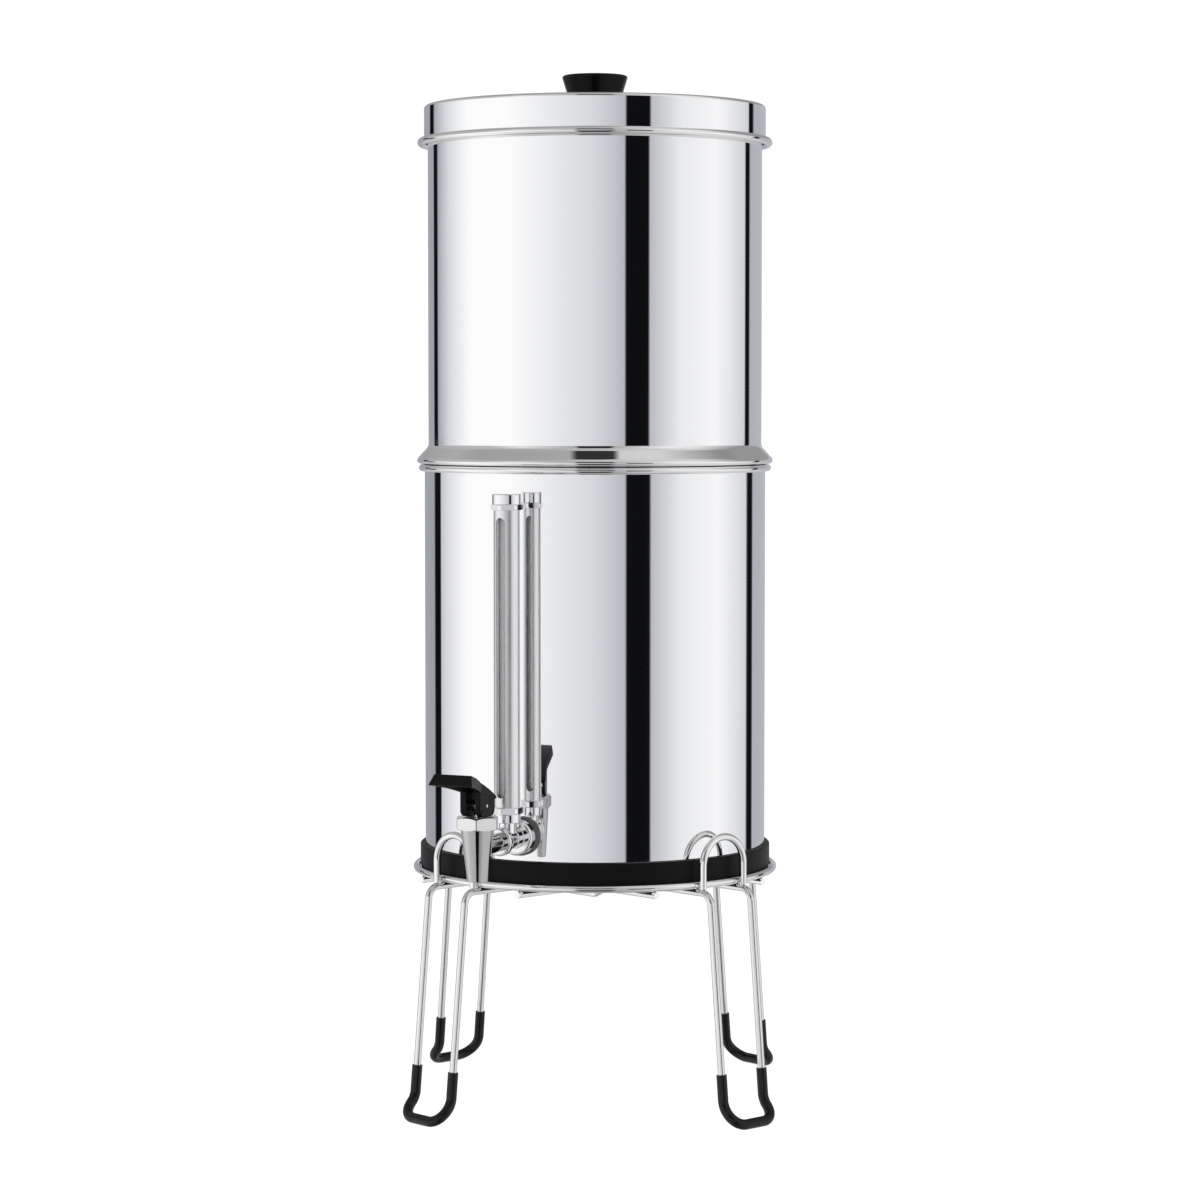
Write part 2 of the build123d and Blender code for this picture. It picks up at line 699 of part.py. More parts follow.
# ---- Tap body: shank, valve chamber and conical spout ----
spout_end = tap_height - cone_drop
body_top = tap_height + cone_rise
seat_height = tap_height - seat_drop
with BuildPart() as tap_body:
    with BuildSketch(Plane.XZ.offset(socket_bottom)):
        with Locations((0, tap_height)):
            Circle(tap_thread_diameter / 2)
    extrude(amount=tap_thread_length)
    with BuildSketch(Plane.XZ.offset(tee_end)):
        with Locations((0, tap_height)):
            Circle(shank_diameter / 2)
    extrude(amount=valve_reach - tee_end)
    with BuildSketch(Plane.XY.offset(spout_end)):
        with Locations((0, -valve_reach)):
            Circle(cone_bottom_diameter / 2)
    with BuildSketch(Plane.XY.offset(body_top)):
        with Locations((0, -valve_reach)):
            Circle(cone_top_diameter / 2)
    loft()
    fillet(tap_body.edges().group_by(Axis.Z)[0], radius=spout_rounding)
    with BuildSketch(Plane.XZ.offset(socket_bottom)):
        with Locations((0, tap_height)):
            Circle(shank_bore / 2)
    extrude(amount=valve_reach - socket_bottom, mode=Mode.SUBTRACT)
    with BuildSketch(Plane.XY.offset(body_top)):
        with Locations((0, -valve_reach)):
            Circle(valve_bore / 2)
    extrude(amount=seat_height - body_top, mode=Mode.SUBTRACT)
    with BuildSketch(Plane.XY.offset(spout_end)):
        with Locations((0, -valve_reach)):
            Circle(outlet_bore / 2)
    extrude(amount=body_top - spout_end, mode=Mode.SUBTRACT)
save(tap_body.part, "tap_body")

# ---- Hexagonal bonnet with a spigot in the valve chamber ----
bonnet_top = body_top + bonnet_height
with BuildPart() as tap_bonnet:
    with Locations(Location((0, -valve_reach, body_top), (0, 0, bonnet_turn - 90))):
        add(hexagon(bonnet_width, bonnet_height, bonnet_edge))
    with BuildSketch(Plane.XY.offset(body_top)):
        with Locations((0, -valve_reach)):
            Circle(valve_bore / 2)
    extrude(amount=-bonnet_spigot)
    with BuildSketch(Plane.XY.offset(body_top - bonnet_spigot)):
        with Locations((0, -valve_reach)):
            Circle(valve_stem_diameter / 2 + running_fit)
    extrude(amount=bonnet_spigot + bonnet_height, mode=Mode.SUBTRACT)
save(tap_bonnet.part, "tap_bonnet")

# ---- Valve stem with the eye for the lever's pin ----
pin_height = bonnet_top + pin_rise
cup_bottom = seat_height + gap
cup_top = cup_bottom + cup_height
head_width = yoke_gap - 2 * gap
with BuildPart() as valve_stem:
    with BuildSketch(Plane.XY.offset(cup_top - stem_in_cup)):
        with Locations((0, -valve_reach)):
            Circle(valve_stem_diameter / 2)
    extrude(amount=pin_height - cup_top + stem_in_cup)
    with BuildSketch(Plane.YZ.offset(-head_width / 2)):
        with Locations((-valve_reach, pin_height)):
            Circle(stem_eye_radius)
    extrude(amount=head_width)
    with BuildSketch(Plane.YZ.offset(-head_width / 2)):
        with Locations((-valve_reach, pin_height)):
            Circle(pin_diameter / 2 + running_fit)
    extrude(amount=head_width, mode=Mode.SUBTRACT)
save(valve_stem.part, "valve_stem")

# ---- Soft seat cup on the stem ----
with BuildPart() as seat_cup:
    with BuildSketch(Plane.XY.offset(cup_bottom)):
        with Locations((0, -valve_reach)):
            Circle(cup_diameter / 2)
    extrude(amount=cup_height)
    fillet(seat_cup.edges().group_by(Axis.Z)[0], radius=cup_rounding)
    with BuildSketch(Plane.XY.offset(cup_top - stem_in_cup)):
        with Locations((0, -valve_reach)):
            Circle(valve_stem_diameter / 2)
    extrude(amount=stem_in_cup, mode=Mode.SUBTRACT)
save(seat_cup.part, "seat_cup")

# ---- Spring that presses the cup on its seat ----
spring_radius = (spring_diameter - spring_wire) / 2
spring_bottom = cup_top + spring_wire / 2
spring_top = body_top - bonnet_spigot - gap - spring_wire / 2
spring_height = spring_top - spring_bottom
with BuildPart() as valve_spring:
    with BuildLine(Plane((0, -valve_reach, spring_bottom))) as coil:
        Helix(pitch=spring_height / spring_turns, height=spring_height, radius=spring_radius)
    with BuildSketch(Plane(coil.line @ 0, z_dir=coil.line % 0)):
        Circle(spring_wire / 2)
    sweep(path=coil.wires()[0], is_frenet=True)
save(valve_spring.part, "valve_spring")

# ---- Lever: two ears with cams under the pin, and a hollow hood over them ----
# The stem rises evenly with the lever's angle, so the cam's distance from the pin, measured
# straight down, grows by the same amount: cam_rate for each radian.
cam_rate = valve_lift / radians(lever_swing)
cam_rest = pin_rise - gap


def cam_point(angle):
    turn = radians(angle)
    rise = cam_rest + cam_rate * turn
    return (rise * sin(turn) + cam_rate * cos(turn), -rise * cos(turn) + cam_rate * sin(turn))


yoke_width = yoke_gap + 2 * ear_thickness
side_view = Plane((0, -valve_reach, pin_height), x_dir=(0, -1, 0), z_dir=(-1, 0, 0))
top_view = Plane((0, -valve_reach, pin_height), x_dir=(0, -1, 0), z_dir=(0, 0, 1))
cam_end = cam_point(lever_swing)
cam_side = radians(90 - lever_swing)
ear_front = cam_end[0] + cam_rounding * (1 - cos(cam_side))
ear_shoulder = cam_end[1] + cam_rounding * sin(cam_side)
hood_back = -yoke_back - hood_overhang
hood_middle = (
    (lever_tip_reach + hood_back) / 2 - lever_arch / 3,
    (hood_back_height + lever_tip_height) / 2 + lever_arch,
)
under_middle = (
    (ear_front + lever_toe_reach) / 2,
    (throat_height + lever_toe_height) / 2 + lever_arch / 3,
)
lever_tip = (lever_tip_reach, lever_tip_height)
lever_toe = (lever_toe_reach, lever_toe_height)
paddle_depth = lever_tip_height - lever_toe_height
hood_width = yoke_width + 2 * hood_reach
below = -3 * cam_rest  # level under the whole lever
beyond = 2 * lever_toe_reach  # reach past its tip

with BuildPart() as lever_ears:
    with BuildSketch(side_view) as ear_side:
        with BuildLine():
            Line((ear_front, throat_height + hood_lip / 2), (ear_front, ear_shoulder))
            JernArc((ear_front, ear_shoulder), (0, -1), cam_rounding, -degrees(cam_side))
            cam = ThreePointArc(cam_end, cam_point(lever_swing / 2), cam_point(0))
            Polyline(
                cam @ 1,
                (-yoke_back, -cam_rest),
                (-yoke_back, hood_back_height - hood_lip / 2),
                (ear_front, throat_height + hood_lip / 2),
            )
        make_face()
        back_corners = ear_side.vertices().group_by(Axis.X)[0]
        fillet(back_corners.sort_by(Axis.Y)[0], radius=yoke_rounding)
    extrude(amount=yoke_width / 2, both=True)

with BuildPart() as lever_hollow:
    with BuildSketch(side_view):
        with BuildLine():
            roof = ThreePointArc(
                (hood_back, hood_back_height - lever_roof),
                (hood_middle[0], hood_middle[1] - lever_roof),
                (lever_tip_reach - lever_wall, lever_tip_height - lever_roof),
            )
            Polyline(
                roof @ 1,
                (lever_toe_reach - lever_wall, lever_toe_height),
                (lever_toe_reach - lever_wall, below),
                (2 * hood_back, below),
                (2 * hood_back, (roof @ 0).Y),
                roof @ 0,
            )
        make_face()
    extrude(amount=lever_toe_width, both=True)
    with BuildSketch(top_view.offset(below)):
        with BuildLine():
            Polyline(
                (2 * hood_back, yoke_gap / 2),
                (ear_front, yoke_gap / 2),
                (lever_toe_reach, lever_toe_width / 2 - lever_wall),
                (lever_toe_reach, -lever_toe_width / 2 + lever_wall),
                (ear_front, -yoke_gap / 2),
                (2 * hood_back, -yoke_gap / 2),
                close=True,
            )
        make_face()
    extrude(amount=2 * lever_tip_height - below, mode=Mode.INTERSECT)

# The paddle's sides lean in from the toe upwards.
above = lever_toe_height + 2 * paddle_depth
with BuildPart() as hood_limit:
    for level, width in (
        (0, lever_toe_width),
        (lever_toe_height, lever_toe_width),
        (above, 2 * lever_tip_width - lever_toe_width),
    ):
        with BuildSketch(top_view.offset(level)):
            with BuildLine():
                Polyline(
                    (2 * hood_back, hood_width / 2),
                    (ear_front, hood_width / 2),
                    (lever_toe_reach, width / 2),
                    (beyond, width / 2),
                    (beyond, -width / 2),
                    (lever_toe_reach, -width / 2),
                    (ear_front, -hood_width / 2),
                    (2 * hood_back, -hood_width / 2),
                    close=True,
                )
            make_face()
    loft(ruled=True)

with BuildPart() as tap_lever:
    with BuildSketch(side_view):
        with BuildLine():
            crown = ThreePointArc((hood_back, hood_back_height), hood_middle, lever_tip)
            Line(lever_tip, lever_toe)
            under = ThreePointArc(lever_toe, under_middle, (ear_front, throat_height))
            Polyline(under @ 1, (hood_back, hood_back_height - hood_lip), crown @ 0)
        make_face()
    extrude(amount=lever_toe_width, both=True)
    add(hood_limit.part, mode=Mode.INTERSECT)
    crown_face = tap_lever.faces().filter_by(GeomType.CYLINDER).sort_by(Axis.Z)[-1]
    tip_face = tap_lever.faces().sort_by(Axis.Y)[0]
    fillet(set(crown_face.edges() + tip_face.edges()), radius=lever_edge)
    add(lever_ears.part)
    add(lever_hollow.part, mode=Mode.SUBTRACT)
    with BuildSketch(side_view.offset(-yoke_width)):
        Circle(pin_diameter / 2)
    extrude(amount=2 * yoke_width, mode=Mode.SUBTRACT)
save(tap_lever.part, "tap_lever")

with BuildPart() as lever_pin:
    with BuildSketch(side_view.offset(-yoke_width / 2)):
        Circle(pin_diameter / 2)
    extrude(amount=yoke_width)
save(lever_pin.part, "lever_pin")

# ---- Sight glass: nuts, glass, slotted shield, cap and seals ----
sight_axis = (0, -sight_reach)
corner_turn = 90  # turns a hexagon's corner from +X to the Y axis
shield_bottom = neck_top + bottom_nut_rise
shield_top = lower_curl_height - sight_headroom
window_bottom = shield_bottom + window_sill
window_top = shield_top - window_head
glass_bottom = neck_top + seal_thickness
top_nut_top = shield_top + top_nut_height
glass_top = top_nut_top + glass_in_cap
with BuildPart() as sight_bottom_nut:
    with Locations(Location((0, -sight_reach, bottom_nut_bottom), (0, 0, corner_turn))):
        add(hexagon(sight_nut_width, bottom_nut_grip + bottom_nut_rise, nut_edge))
    with BuildSketch(Plane.XY.offset(neck_top)):
        with Locations(sight_axis):
            Circle(neck_thread_diameter / 2)
    extrude(amount=-bottom_nut_grip, mode=Mode.SUBTRACT)
    with BuildSketch(Plane.XY.offset(neck_top)):
        with Locations(sight_axis):
            Circle(glass_diameter / 2 + glass_fit)
    extrude(amount=bottom_nut_rise, mode=Mode.SUBTRACT)
save(sight_bottom_nut.part, "sight_bottom_nut")

with BuildPart() as sight_tube:
    with BuildSketch(Plane.XY.offset(glass_bottom)):
        with Locations(sight_axis):
            Circle(glass_diameter / 2)
            Circle(glass_diameter / 2 - glass_wall, mode=Mode.SUBTRACT)
    extrude(amount=glass_top - glass_bottom)
save(sight_tube.part, "sight_tube")

window_middle = (window_bottom + window_top) / 2
window_side = outward_at(window_turn)
window_plane = Plane((0, -sight_reach, 0), x_dir=(-window_side.Y, window_side.X, 0), z_dir=window_side)
with BuildPart() as sight_shield:
    with BuildSketch(Plane.XY.offset(shield_bottom)):
        with Locations(sight_axis):
            Circle(shield_diameter / 2)
            Circle(shield_diameter / 2 - shield_wall, mode=Mode.SUBTRACT)
    extrude(amount=shield_top - shield_bottom)
    with BuildSketch(window_plane):
        with Locations((0, window_middle)):
            SlotOverall(window_top - window_bottom, window_width, rotation=90)
    extrude(amount=shield_diameter, both=True, mode=Mode.SUBTRACT)
save(sight_shield.part, "sight_shield")

with BuildPart() as sight_top_nut:
    with Locations(Location((0, -sight_reach, shield_top), (0, 0, corner_turn))):
        add(hexagon(sight_nut_width, top_nut_height, nut_edge))
    with BuildSketch(Plane.XY.offset(shield_top)):
        with Locations(sight_axis):
            Circle(glass_diameter / 2 + glass_fit)
    extrude(amount=top_nut_height, mode=Mode.SUBTRACT)
save(sight_top_nut.part, "sight_top_nut")

with BuildPart() as sight_cap:
    with BuildSketch(Plane.XY.offset(top_nut_top)):
        with Locations(sight_axis):
            Circle(cap_diameter / 2)
    extrude(amount=cap_height)
    fillet(sight_cap.edges().group_by(Axis.Z)[-1], radius=cap_rounding)
    with BuildSketch(Plane.XY.offset(top_nut_top)):
        with Locations(sight_axis):
            Circle(glass_diameter / 2 + glass_fit)
    extrude(amount=glass_in_cap + seal_thickness, mode=Mode.SUBTRACT)
save(sight_cap.part, "sight_cap")

with BuildPart() as sight_seals:
    for level in (neck_top, glass_top):
        with BuildSketch(Plane.XY.offset(level)):
            with Locations(sight_axis):
                Circle(glass_diameter / 2)
                Circle(glass_diameter / 2 - seal_width, mode=Mode.SUBTRACT)
        extrude(amount=seal_thickness)
save(sight_seals.part, "sight_seals")
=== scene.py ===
import math

import bpy
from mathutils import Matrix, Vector


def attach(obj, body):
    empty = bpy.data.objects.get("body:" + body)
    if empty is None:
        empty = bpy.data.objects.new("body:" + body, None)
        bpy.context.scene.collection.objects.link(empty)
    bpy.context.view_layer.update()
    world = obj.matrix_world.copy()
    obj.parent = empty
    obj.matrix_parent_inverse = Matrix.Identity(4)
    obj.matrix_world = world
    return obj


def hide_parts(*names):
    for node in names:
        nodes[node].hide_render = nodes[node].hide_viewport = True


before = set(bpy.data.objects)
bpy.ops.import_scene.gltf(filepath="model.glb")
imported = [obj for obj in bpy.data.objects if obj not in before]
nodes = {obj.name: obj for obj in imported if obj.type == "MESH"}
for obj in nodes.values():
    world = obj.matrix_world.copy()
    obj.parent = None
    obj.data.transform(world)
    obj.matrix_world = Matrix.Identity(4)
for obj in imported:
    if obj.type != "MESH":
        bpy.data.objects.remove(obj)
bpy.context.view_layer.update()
print("frame loaded:", len(nodes), "nodes")


# Modelling helpers

def drawLine(name, points):
    # A plane merged to one vertex, then extruded from point to point.
    bpy.ops.object.select_all(action='DESELECT')
    bpy.ops.mesh.primitive_plane_add(size=0.01)
    piece = bpy.context.object
    piece.name = name
    piece.data.name = name
    bpy.ops.object.mode_set(mode='EDIT')
    bpy.ops.mesh.select_all(action='SELECT')
    bpy.ops.mesh.merge(type='CENTER')
    points = [Vector(point) for point in points]
    bpy.ops.transform.translate(value=points[0])
    for last, point in zip(points, points[1:]):
        bpy.ops.mesh.extrude_region_move(TRANSFORM_OT_translate={"value": point - last})
    return piece


def pickVertex(piece, point):
    bpy.ops.mesh.select_all(action='DESELECT')
    bpy.ops.object.mode_set(mode='OBJECT')
    nearest = min(piece.data.vertices, key=lambda vertex: (vertex.co - point).length)
    nearest.select = True
    bpy.ops.object.mode_set(mode='EDIT')


def pickParts(parts, test):
    # Selects the active mesh's vertices or faces that pass a test, in edit mode.
    bpy.ops.object.mode_set(mode='EDIT')
    bpy.ops.mesh.select_all(action='DESELECT')
    bpy.ops.object.mode_set(mode='OBJECT')
    for part in parts:
        part.select = test(part)
    bpy.ops.object.mode_set(mode='EDIT')


def closeMesh():
    # Merges what lies in one place and turns the faces outwards, in edit mode.
    bpy.ops.mesh.select_all(action='SELECT')
    bpy.ops.mesh.remove_doubles(threshold=0.000002)
    bpy.ops.mesh.normals_make_consistent(inside=False)


def bendCorners(piece, points, radii, segments=12):
    # Each inner corner gets its bend radius, by a vertex bevel.
    points = [Vector(point) for point in points]
    for before, corner, after, radius in zip(points, points[1:], points[2:], radii):
        if radius > 0:
            turn = (corner - before).angle(after - corner)
            pickVertex(piece, corner)
            bpy.ops.mesh.bevel(
                offset=radius * math.tan(turn / 2), segments=segments, affect='VERTICES', profile=0.5
            )


def curlEnd(piece, end, centre, degrees, steps):
    # Rolls the line on round a centre. The line lies in the XZ plane.
    pickVertex(piece, Vector(end))
    bpy.ops.mesh.spin(steps=steps, angle=math.radians(degrees), center=centre, axis=(0, 1, 0))


def latheLine(piece, steps=256, middle=(0, 0, 0), axis=(0, 0, 1)):
    bpy.ops.mesh.select_all(action='SELECT')
    bpy.ops.mesh.spin(steps=steps, angle=math.radians(360), center=middle, axis=axis)
    closeMesh()
    bpy.ops.object.mode_set(mode='OBJECT')


def addModifier(piece, kind, **settings):
    bpy.ops.object.select_all(action='DESELECT')
    piece.select_set(True)
    bpy.context.view_layer.objects.active = piece
    modifier = piece.modifiers.new(kind.title(), kind)
    for key, value in settings.items():
        setattr(modifier, key, value)
    bpy.ops.object.modifier_apply(modifier=modifier.name)


def shapeWith(piece, tool, operation):
    # A second mesh cuts, keeps or joins, and is gone afterwards.
    addModifier(piece, 'BOOLEAN', operation=operation, object=tool, solver='EXACT')
    bpy.data.objects.remove(tool)


def softenEdges(piece, width, degrees=30, segments=2):
    limit = math.radians(degrees)
    addModifier(piece, 'BEVEL', width=width, segments=segments, limit_method='ANGLE', angle_limit=limit)


def smoothPiece(piece, degrees=35):
    bpy.ops.object.select_all(action='DESELECT')
    piece.select_set(True)
    bpy.context.view_layer.objects.active = piece
    bpy.ops.object.shade_smooth_by_angle(angle=math.radians(degrees))
    # Large faces keep their own direction, so a straight wall reflects like one right up to its bends.
    addModifier(piece, 'WEIGHTED_NORMAL', weight=80, keep_sharp=True)


def tubeAlong(piece, radius, resolution=9, capped=True):
    # The drawn line becomes a curve with a round section, and a mesh again.
    bpy.ops.object.mode_set(mode='OBJECT')
    bpy.ops.object.convert(target='CURVE')
    curve = bpy.context.object.data
    curve.bevel_depth = radius
    curve.bevel_resolution = resolution
    curve.use_fill_caps = capped
    bpy.ops.object.convert(target='MESH')
    bpy.ops.object.mode_set(mode='EDIT')
    closeMesh()
    bpy.ops.object.mode_set(mode='OBJECT')
    return bpy.context.object


def copyNode(node, name):
    # A merged copy of a CAD node, so that its round faces can be smooth.
    bpy.ops.object.select_all(action='DESELECT')
    copy = bpy.data.objects.new(name, nodes[node].data.copy())
    bpy.context.scene.collection.objects.link(copy)
    copy.data.materials.clear()
    copy.select_set(True)
    bpy.context.view_layer.objects.active = copy
    bpy.ops.object.mode_set(mode='EDIT')
    bpy.ops.mesh.select_all(action='SELECT')
    bpy.ops.mesh.remove_doubles(threshold=0.000002)
    bpy.ops.object.mode_set(mode='OBJECT')
    return copy


def fitPiece(piece, body, slot, material, *replaced, degrees=35):
    smoothPiece(piece, degrees)
    piece.data.materials.clear()
    piece.data.materials.append(material)
    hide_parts(*replaced)
    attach(piece, body)


# Materials

def newMaterial(name, color, metallic=0.0, roughness=0.5, **sockets):
    material = bpy.data.materials.new(name)
    material.use_nodes = True
    shader = material.node_tree.nodes["Principled BSDF"]
    shader.inputs["Base Color"].default_value = (*color, 1)
    shader.inputs["Metallic"].default_value = metallic
    shader.inputs["Roughness"].default_value = roughness
    for socket, value in sockets.items():
        shader.inputs[socket.replace("_", " ")].default_value = value
    return material


def grain(material, scale, stretch, detail=4.0):
    # Noise on object coordinates, stretched along one direction for brushed metal.
    tree = material.node_tree
    coordinates = tree.nodes.new("ShaderNodeTexCoord")
    mapping = tree.nodes.new("ShaderNodeMapping")
    mapping.inputs["Scale"].default_value = stretch
    noise = tree.nodes.new("ShaderNodeTexNoise")
    noise.inputs["Scale"].default_value = scale
    noise.inputs["Detail"].default_value = detail
    tree.links.new(coordinates.outputs["Object"], mapping.inputs["Vector"])
    tree.links.new(mapping.outputs["Vector"], noise.inputs["Vector"])
    return noise


def varyRoughness(material, noise, low, high):
    tree = material.node_tree
    spread = tree.nodes.new("ShaderNodeMapRange")
    spread.inputs["From Min"].default_value = 0.3
    spread.inputs["From Max"].default_value = 0.7
    spread.inputs["To Min"].default_value = low
    spread.inputs["To Max"].default_value = high
    tree.links.new(noise.outputs["Fac"], spread.inputs["Value"])
    tree.links.new(spread.outputs["Result"], tree.nodes["Principled BSDF"].inputs["Roughness"])


def varyColor(material, noise, dark, light):
    tree = material.node_tree
    ramp = tree.nodes.new("ShaderNodeValToRGB")
    ramp.color_ramp.elements[0].position = 0.3
    ramp.color_ramp.elements[0].color = (*dark, 1)
    ramp.color_ramp.elements[1].position = 0.7
    ramp.color_ramp.elements[1].color = (*light, 1)
    tree.links.new(noise.outputs["Fac"], ramp.inputs["Fac"])
    tree.links.new(ramp.outputs["Color"], tree.nodes["Principled BSDF"].inputs["Base Color"])


def bumpFrom(material, noise, strength, distance):
    tree = material.node_tree
    bump = tree.nodes.new("ShaderNodeBump")
    bump.inputs["Strength"].default_value = strength
    bump.inputs["Distance"].default_value = distance
    tree.links.new(noise.outputs["Fac"], bump.inputs["Height"])
    tree.links.new(bump.outputs["Normal"], tree.nodes["Principled BSDF"].inputs["Normal"])


mirrorSteel = newMaterial("mirrorSteel", (0.94, 0.94, 0.945), metallic=1.0, roughness=0.03)
varyRoughness(mirrorSteel, grain(mirrorSteel, 60, (1, 1, 0.05)), 0.02, 0.045)

chromeWire = newMaterial("chromeWire", (0.93, 0.93, 0.935), metallic=1.0, roughness=0.06)
varyRoughness(chromeWire, grain(chromeWire, 250, (1, 1, 1)), 0.04, 0.1)

legChrome = newMaterial("legChrome", (0.84, 0.84, 0.845), metallic=1.0, roughness=0.16)
varyRoughness(legChrome, grain(legChrome, 250, (1, 1, 1)), 0.15, 0.18)

tapChrome = newMaterial("tapChrome", (0.9, 0.9, 0.905), metallic=1.0, roughness=0.08)
varyRoughness(tapChrome, grain(tapChrome, 300, (1, 1, 1)), 0.05, 0.12)

satinSteel = newMaterial("satinSteel", (0.93, 0.925, 0.92), metallic=1.0, roughness=0.35)
satinGrain = grain(satinSteel, 900, (1, 1, 1))
varyRoughness(satinSteel, satinGrain, 0.3, 0.42)
bumpFrom(satinSteel, satinGrain, 0.15, 0.0001)

# Dark steel for the bonnet's corners: painted dark reflection, darker than the satin steel beside it.
darkReflectionSteel = newMaterial("darkReflectionSteel", (0.12, 0.12, 0.12), metallic=1.0, roughness=0.25)
varyRoughness(darkReflectionSteel, grain(darkReflectionSteel, 900, (1, 1, 1)), 0.2, 0.3)

brushedSteel = newMaterial("brushedSteel", (0.88, 0.88, 0.88), metallic=1.0, roughness=0.3)
brushGrain = grain(brushedSteel, 1500, (1, 1, 0.02))
varyRoughness(brushedSteel, brushGrain, 0.26, 0.38)
bumpFrom(brushedSteel, brushGrain, 0.1, 0.0001)

coneChrome = newMaterial("coneChrome", (0.6, 0.6, 0.605), metallic=1.0, roughness=0.09)
varyRoughness(coneChrome, grain(coneChrome, 300, (1, 1, 1)), 0.06, 0.12)

pinSteel = newMaterial("pinSteel", (0.9, 0.9, 0.9), metallic=1.0, roughness=0.2)
varyRoughness(pinSteel, grain(pinSteel, 700, (1, 1, 1)), 0.15, 0.25)

springSteel = newMaterial("springSteel", (0.62, 0.62, 0.63), metallic=1.0, roughness=0.3)
varyRoughness(springSteel, grain(springSteel, 700, (1, 1, 1)), 0.22, 0.38)

bootRubber = newMaterial("bootRubber", (0.0035, 0.0035, 0.004), roughness=0.42, Specular_IOR_Level=0.12)
bootGrain = grain(bootRubber, 1800, (1, 1, 1))
varyRoughness(bootRubber, bootGrain, 0.36, 0.5)
bumpFrom(bootRubber, bootGrain, 0.2, 0.00008)

sleeveRubber = newMaterial("sleeveRubber", (0.004, 0.004, 0.0045), roughness=0.14, Specular_IOR_Level=0.3)
sleeveLumps = grain(sleeveRubber, 160, (1, 1, 1), detail=1.0)
varyRoughness(sleeveRubber, sleeveLumps, 0.1, 0.2)
bumpFrom(sleeveRubber, sleeveLumps, 0.25, 0.0005)

sealGrey = newMaterial("sealGrey", (0.08, 0.08, 0.08), roughness=0.5)
varyRoughness(sealGrey, grain(sealGrey, 600, (1, 1, 1)), 0.42, 0.58)

sealSilicone = newMaterial("sealSilicone", (0.8, 0.8, 0.78), roughness=0.5)
varyRoughness(sealSilicone, grain(sealSilicone, 600, (1, 1, 1)), 0.42, 0.58)

knobPlastic = newMaterial("knobPlastic", (0.003, 0.003, 0.0035), roughness=0.2, Specular_IOR_Level=0.15)
varyRoughness(knobPlastic, grain(knobPlastic, 1200, (1, 1, 1)), 0.16, 0.26)

leverPlastic = newMaterial("leverPlastic", (0.004, 0.004, 0.0045), roughness=0.36, Specular_IOR_Level=0.15)
leverGrain = grain(leverPlastic, 1500, (1, 1, 1))
varyRoughness(leverPlastic, leverGrain, 0.3, 0.45)
bumpFrom(leverPlastic, leverGrain, 0.2, 0.00006)

filterPlastic = newMaterial("filterPlastic", (0.82, 0.83, 0.84), roughness=0.45)
varyRoughness(filterPlastic, grain(filterPlastic, 800, (1, 1, 1)), 0.38, 0.52)

carbonBlock = newMaterial("carbonBlock", (0.02, 0.02, 0.02), roughness=0.85)
carbonGrain = grain(carbonBlock, 1400, (1, 1, 1), detail=8.0)
varyColor(carbonBlock, carbonGrain, (0.008, 0.008, 0.008), (0.045, 0.045, 0.045))
bumpFrom(carbonBlock, carbonGrain, 0.6, 0.0003)

clearGlass = newMaterial("clearGlass", (0.97, 0.975, 0.975), roughness=0.02, Transmission_Weight=0.7, IOR=1.5)
print("materials made")


# Wire stand

stand = {
    "wire": 0.00225,
    "ringRadius": 0.112921,
    "ringHeight": 0.14665,
    "firstLeg": -23.2,
    "rodHeight": 0.14215,
    "dipHeight": 0.13765,
    "rodSide": 0.0455,
    "rodReach": 0.105526,
    "rodRounding": 0.0006,
    "dipReach": 0.05,
    "joggleReach": 0.059,
    "joggleBend": 0.008,
    "legSide": 0.0171,
    "legReach": 0.122521,
    "legBend": 0.0075,
    "ankleReach": 0.134342,
    "ankleHeight": 0.0135,
    "ankleBend": 0.01,
    "footReach": 0.144342,
    "footHeight": 0.003,
    "footBend": 0.0096,
    "loopReach": 0.116169,
    "loopFoot": 0.1444,
    "loopCrown": 0.17525,
}


def standPoint(turn, reach, side, height):
    # A point by its reach from the axis along a leg's direction, and its distance to one side.
    angle = math.radians(turn)
    outward = Vector((math.sin(angle), -math.cos(angle), 0))
    across = Vector((math.cos(angle), math.sin(angle), 0))
    return outward * reach + across * side + Vector((0, 0, height))


def makeWire(name, points, bends, node, material):
    wire = drawLine(name, points)
    bendCorners(wire, points, bends)
    wire = tubeAlong(wire, stand["wire"])
    fitPiece(wire, "stand", "chrome_wire", material, node)


def roundEnds(piece, rounding, segments):
    # Rounds the rims of a wire's or sleeve's flat ends, and stays in edit mode.
    pickParts(piece.data.polygons, lambda face: len(face.vertices) > 8)
    bpy.ops.mesh.bevel(offset=rounding, segments=segments, affect='EDGES')


def levelRun(turn, side, dips, reach):
    ends = [standPoint(turn, 0, side, stand["rodHeight"]), standPoint(turn, reach, side, stand["rodHeight"])]
    if not dips:
        return ends
    return [
        standPoint(turn, 0, side, stand["dipHeight"]),
        standPoint(turn, stand["dipReach"], side, stand["dipHeight"]),
        standPoint(turn, stand["joggleReach"], side, stand["rodHeight"]),
        ends[1],
    ]


legTurns = [stand["firstLeg"] + 90 * number for number in range(4)]

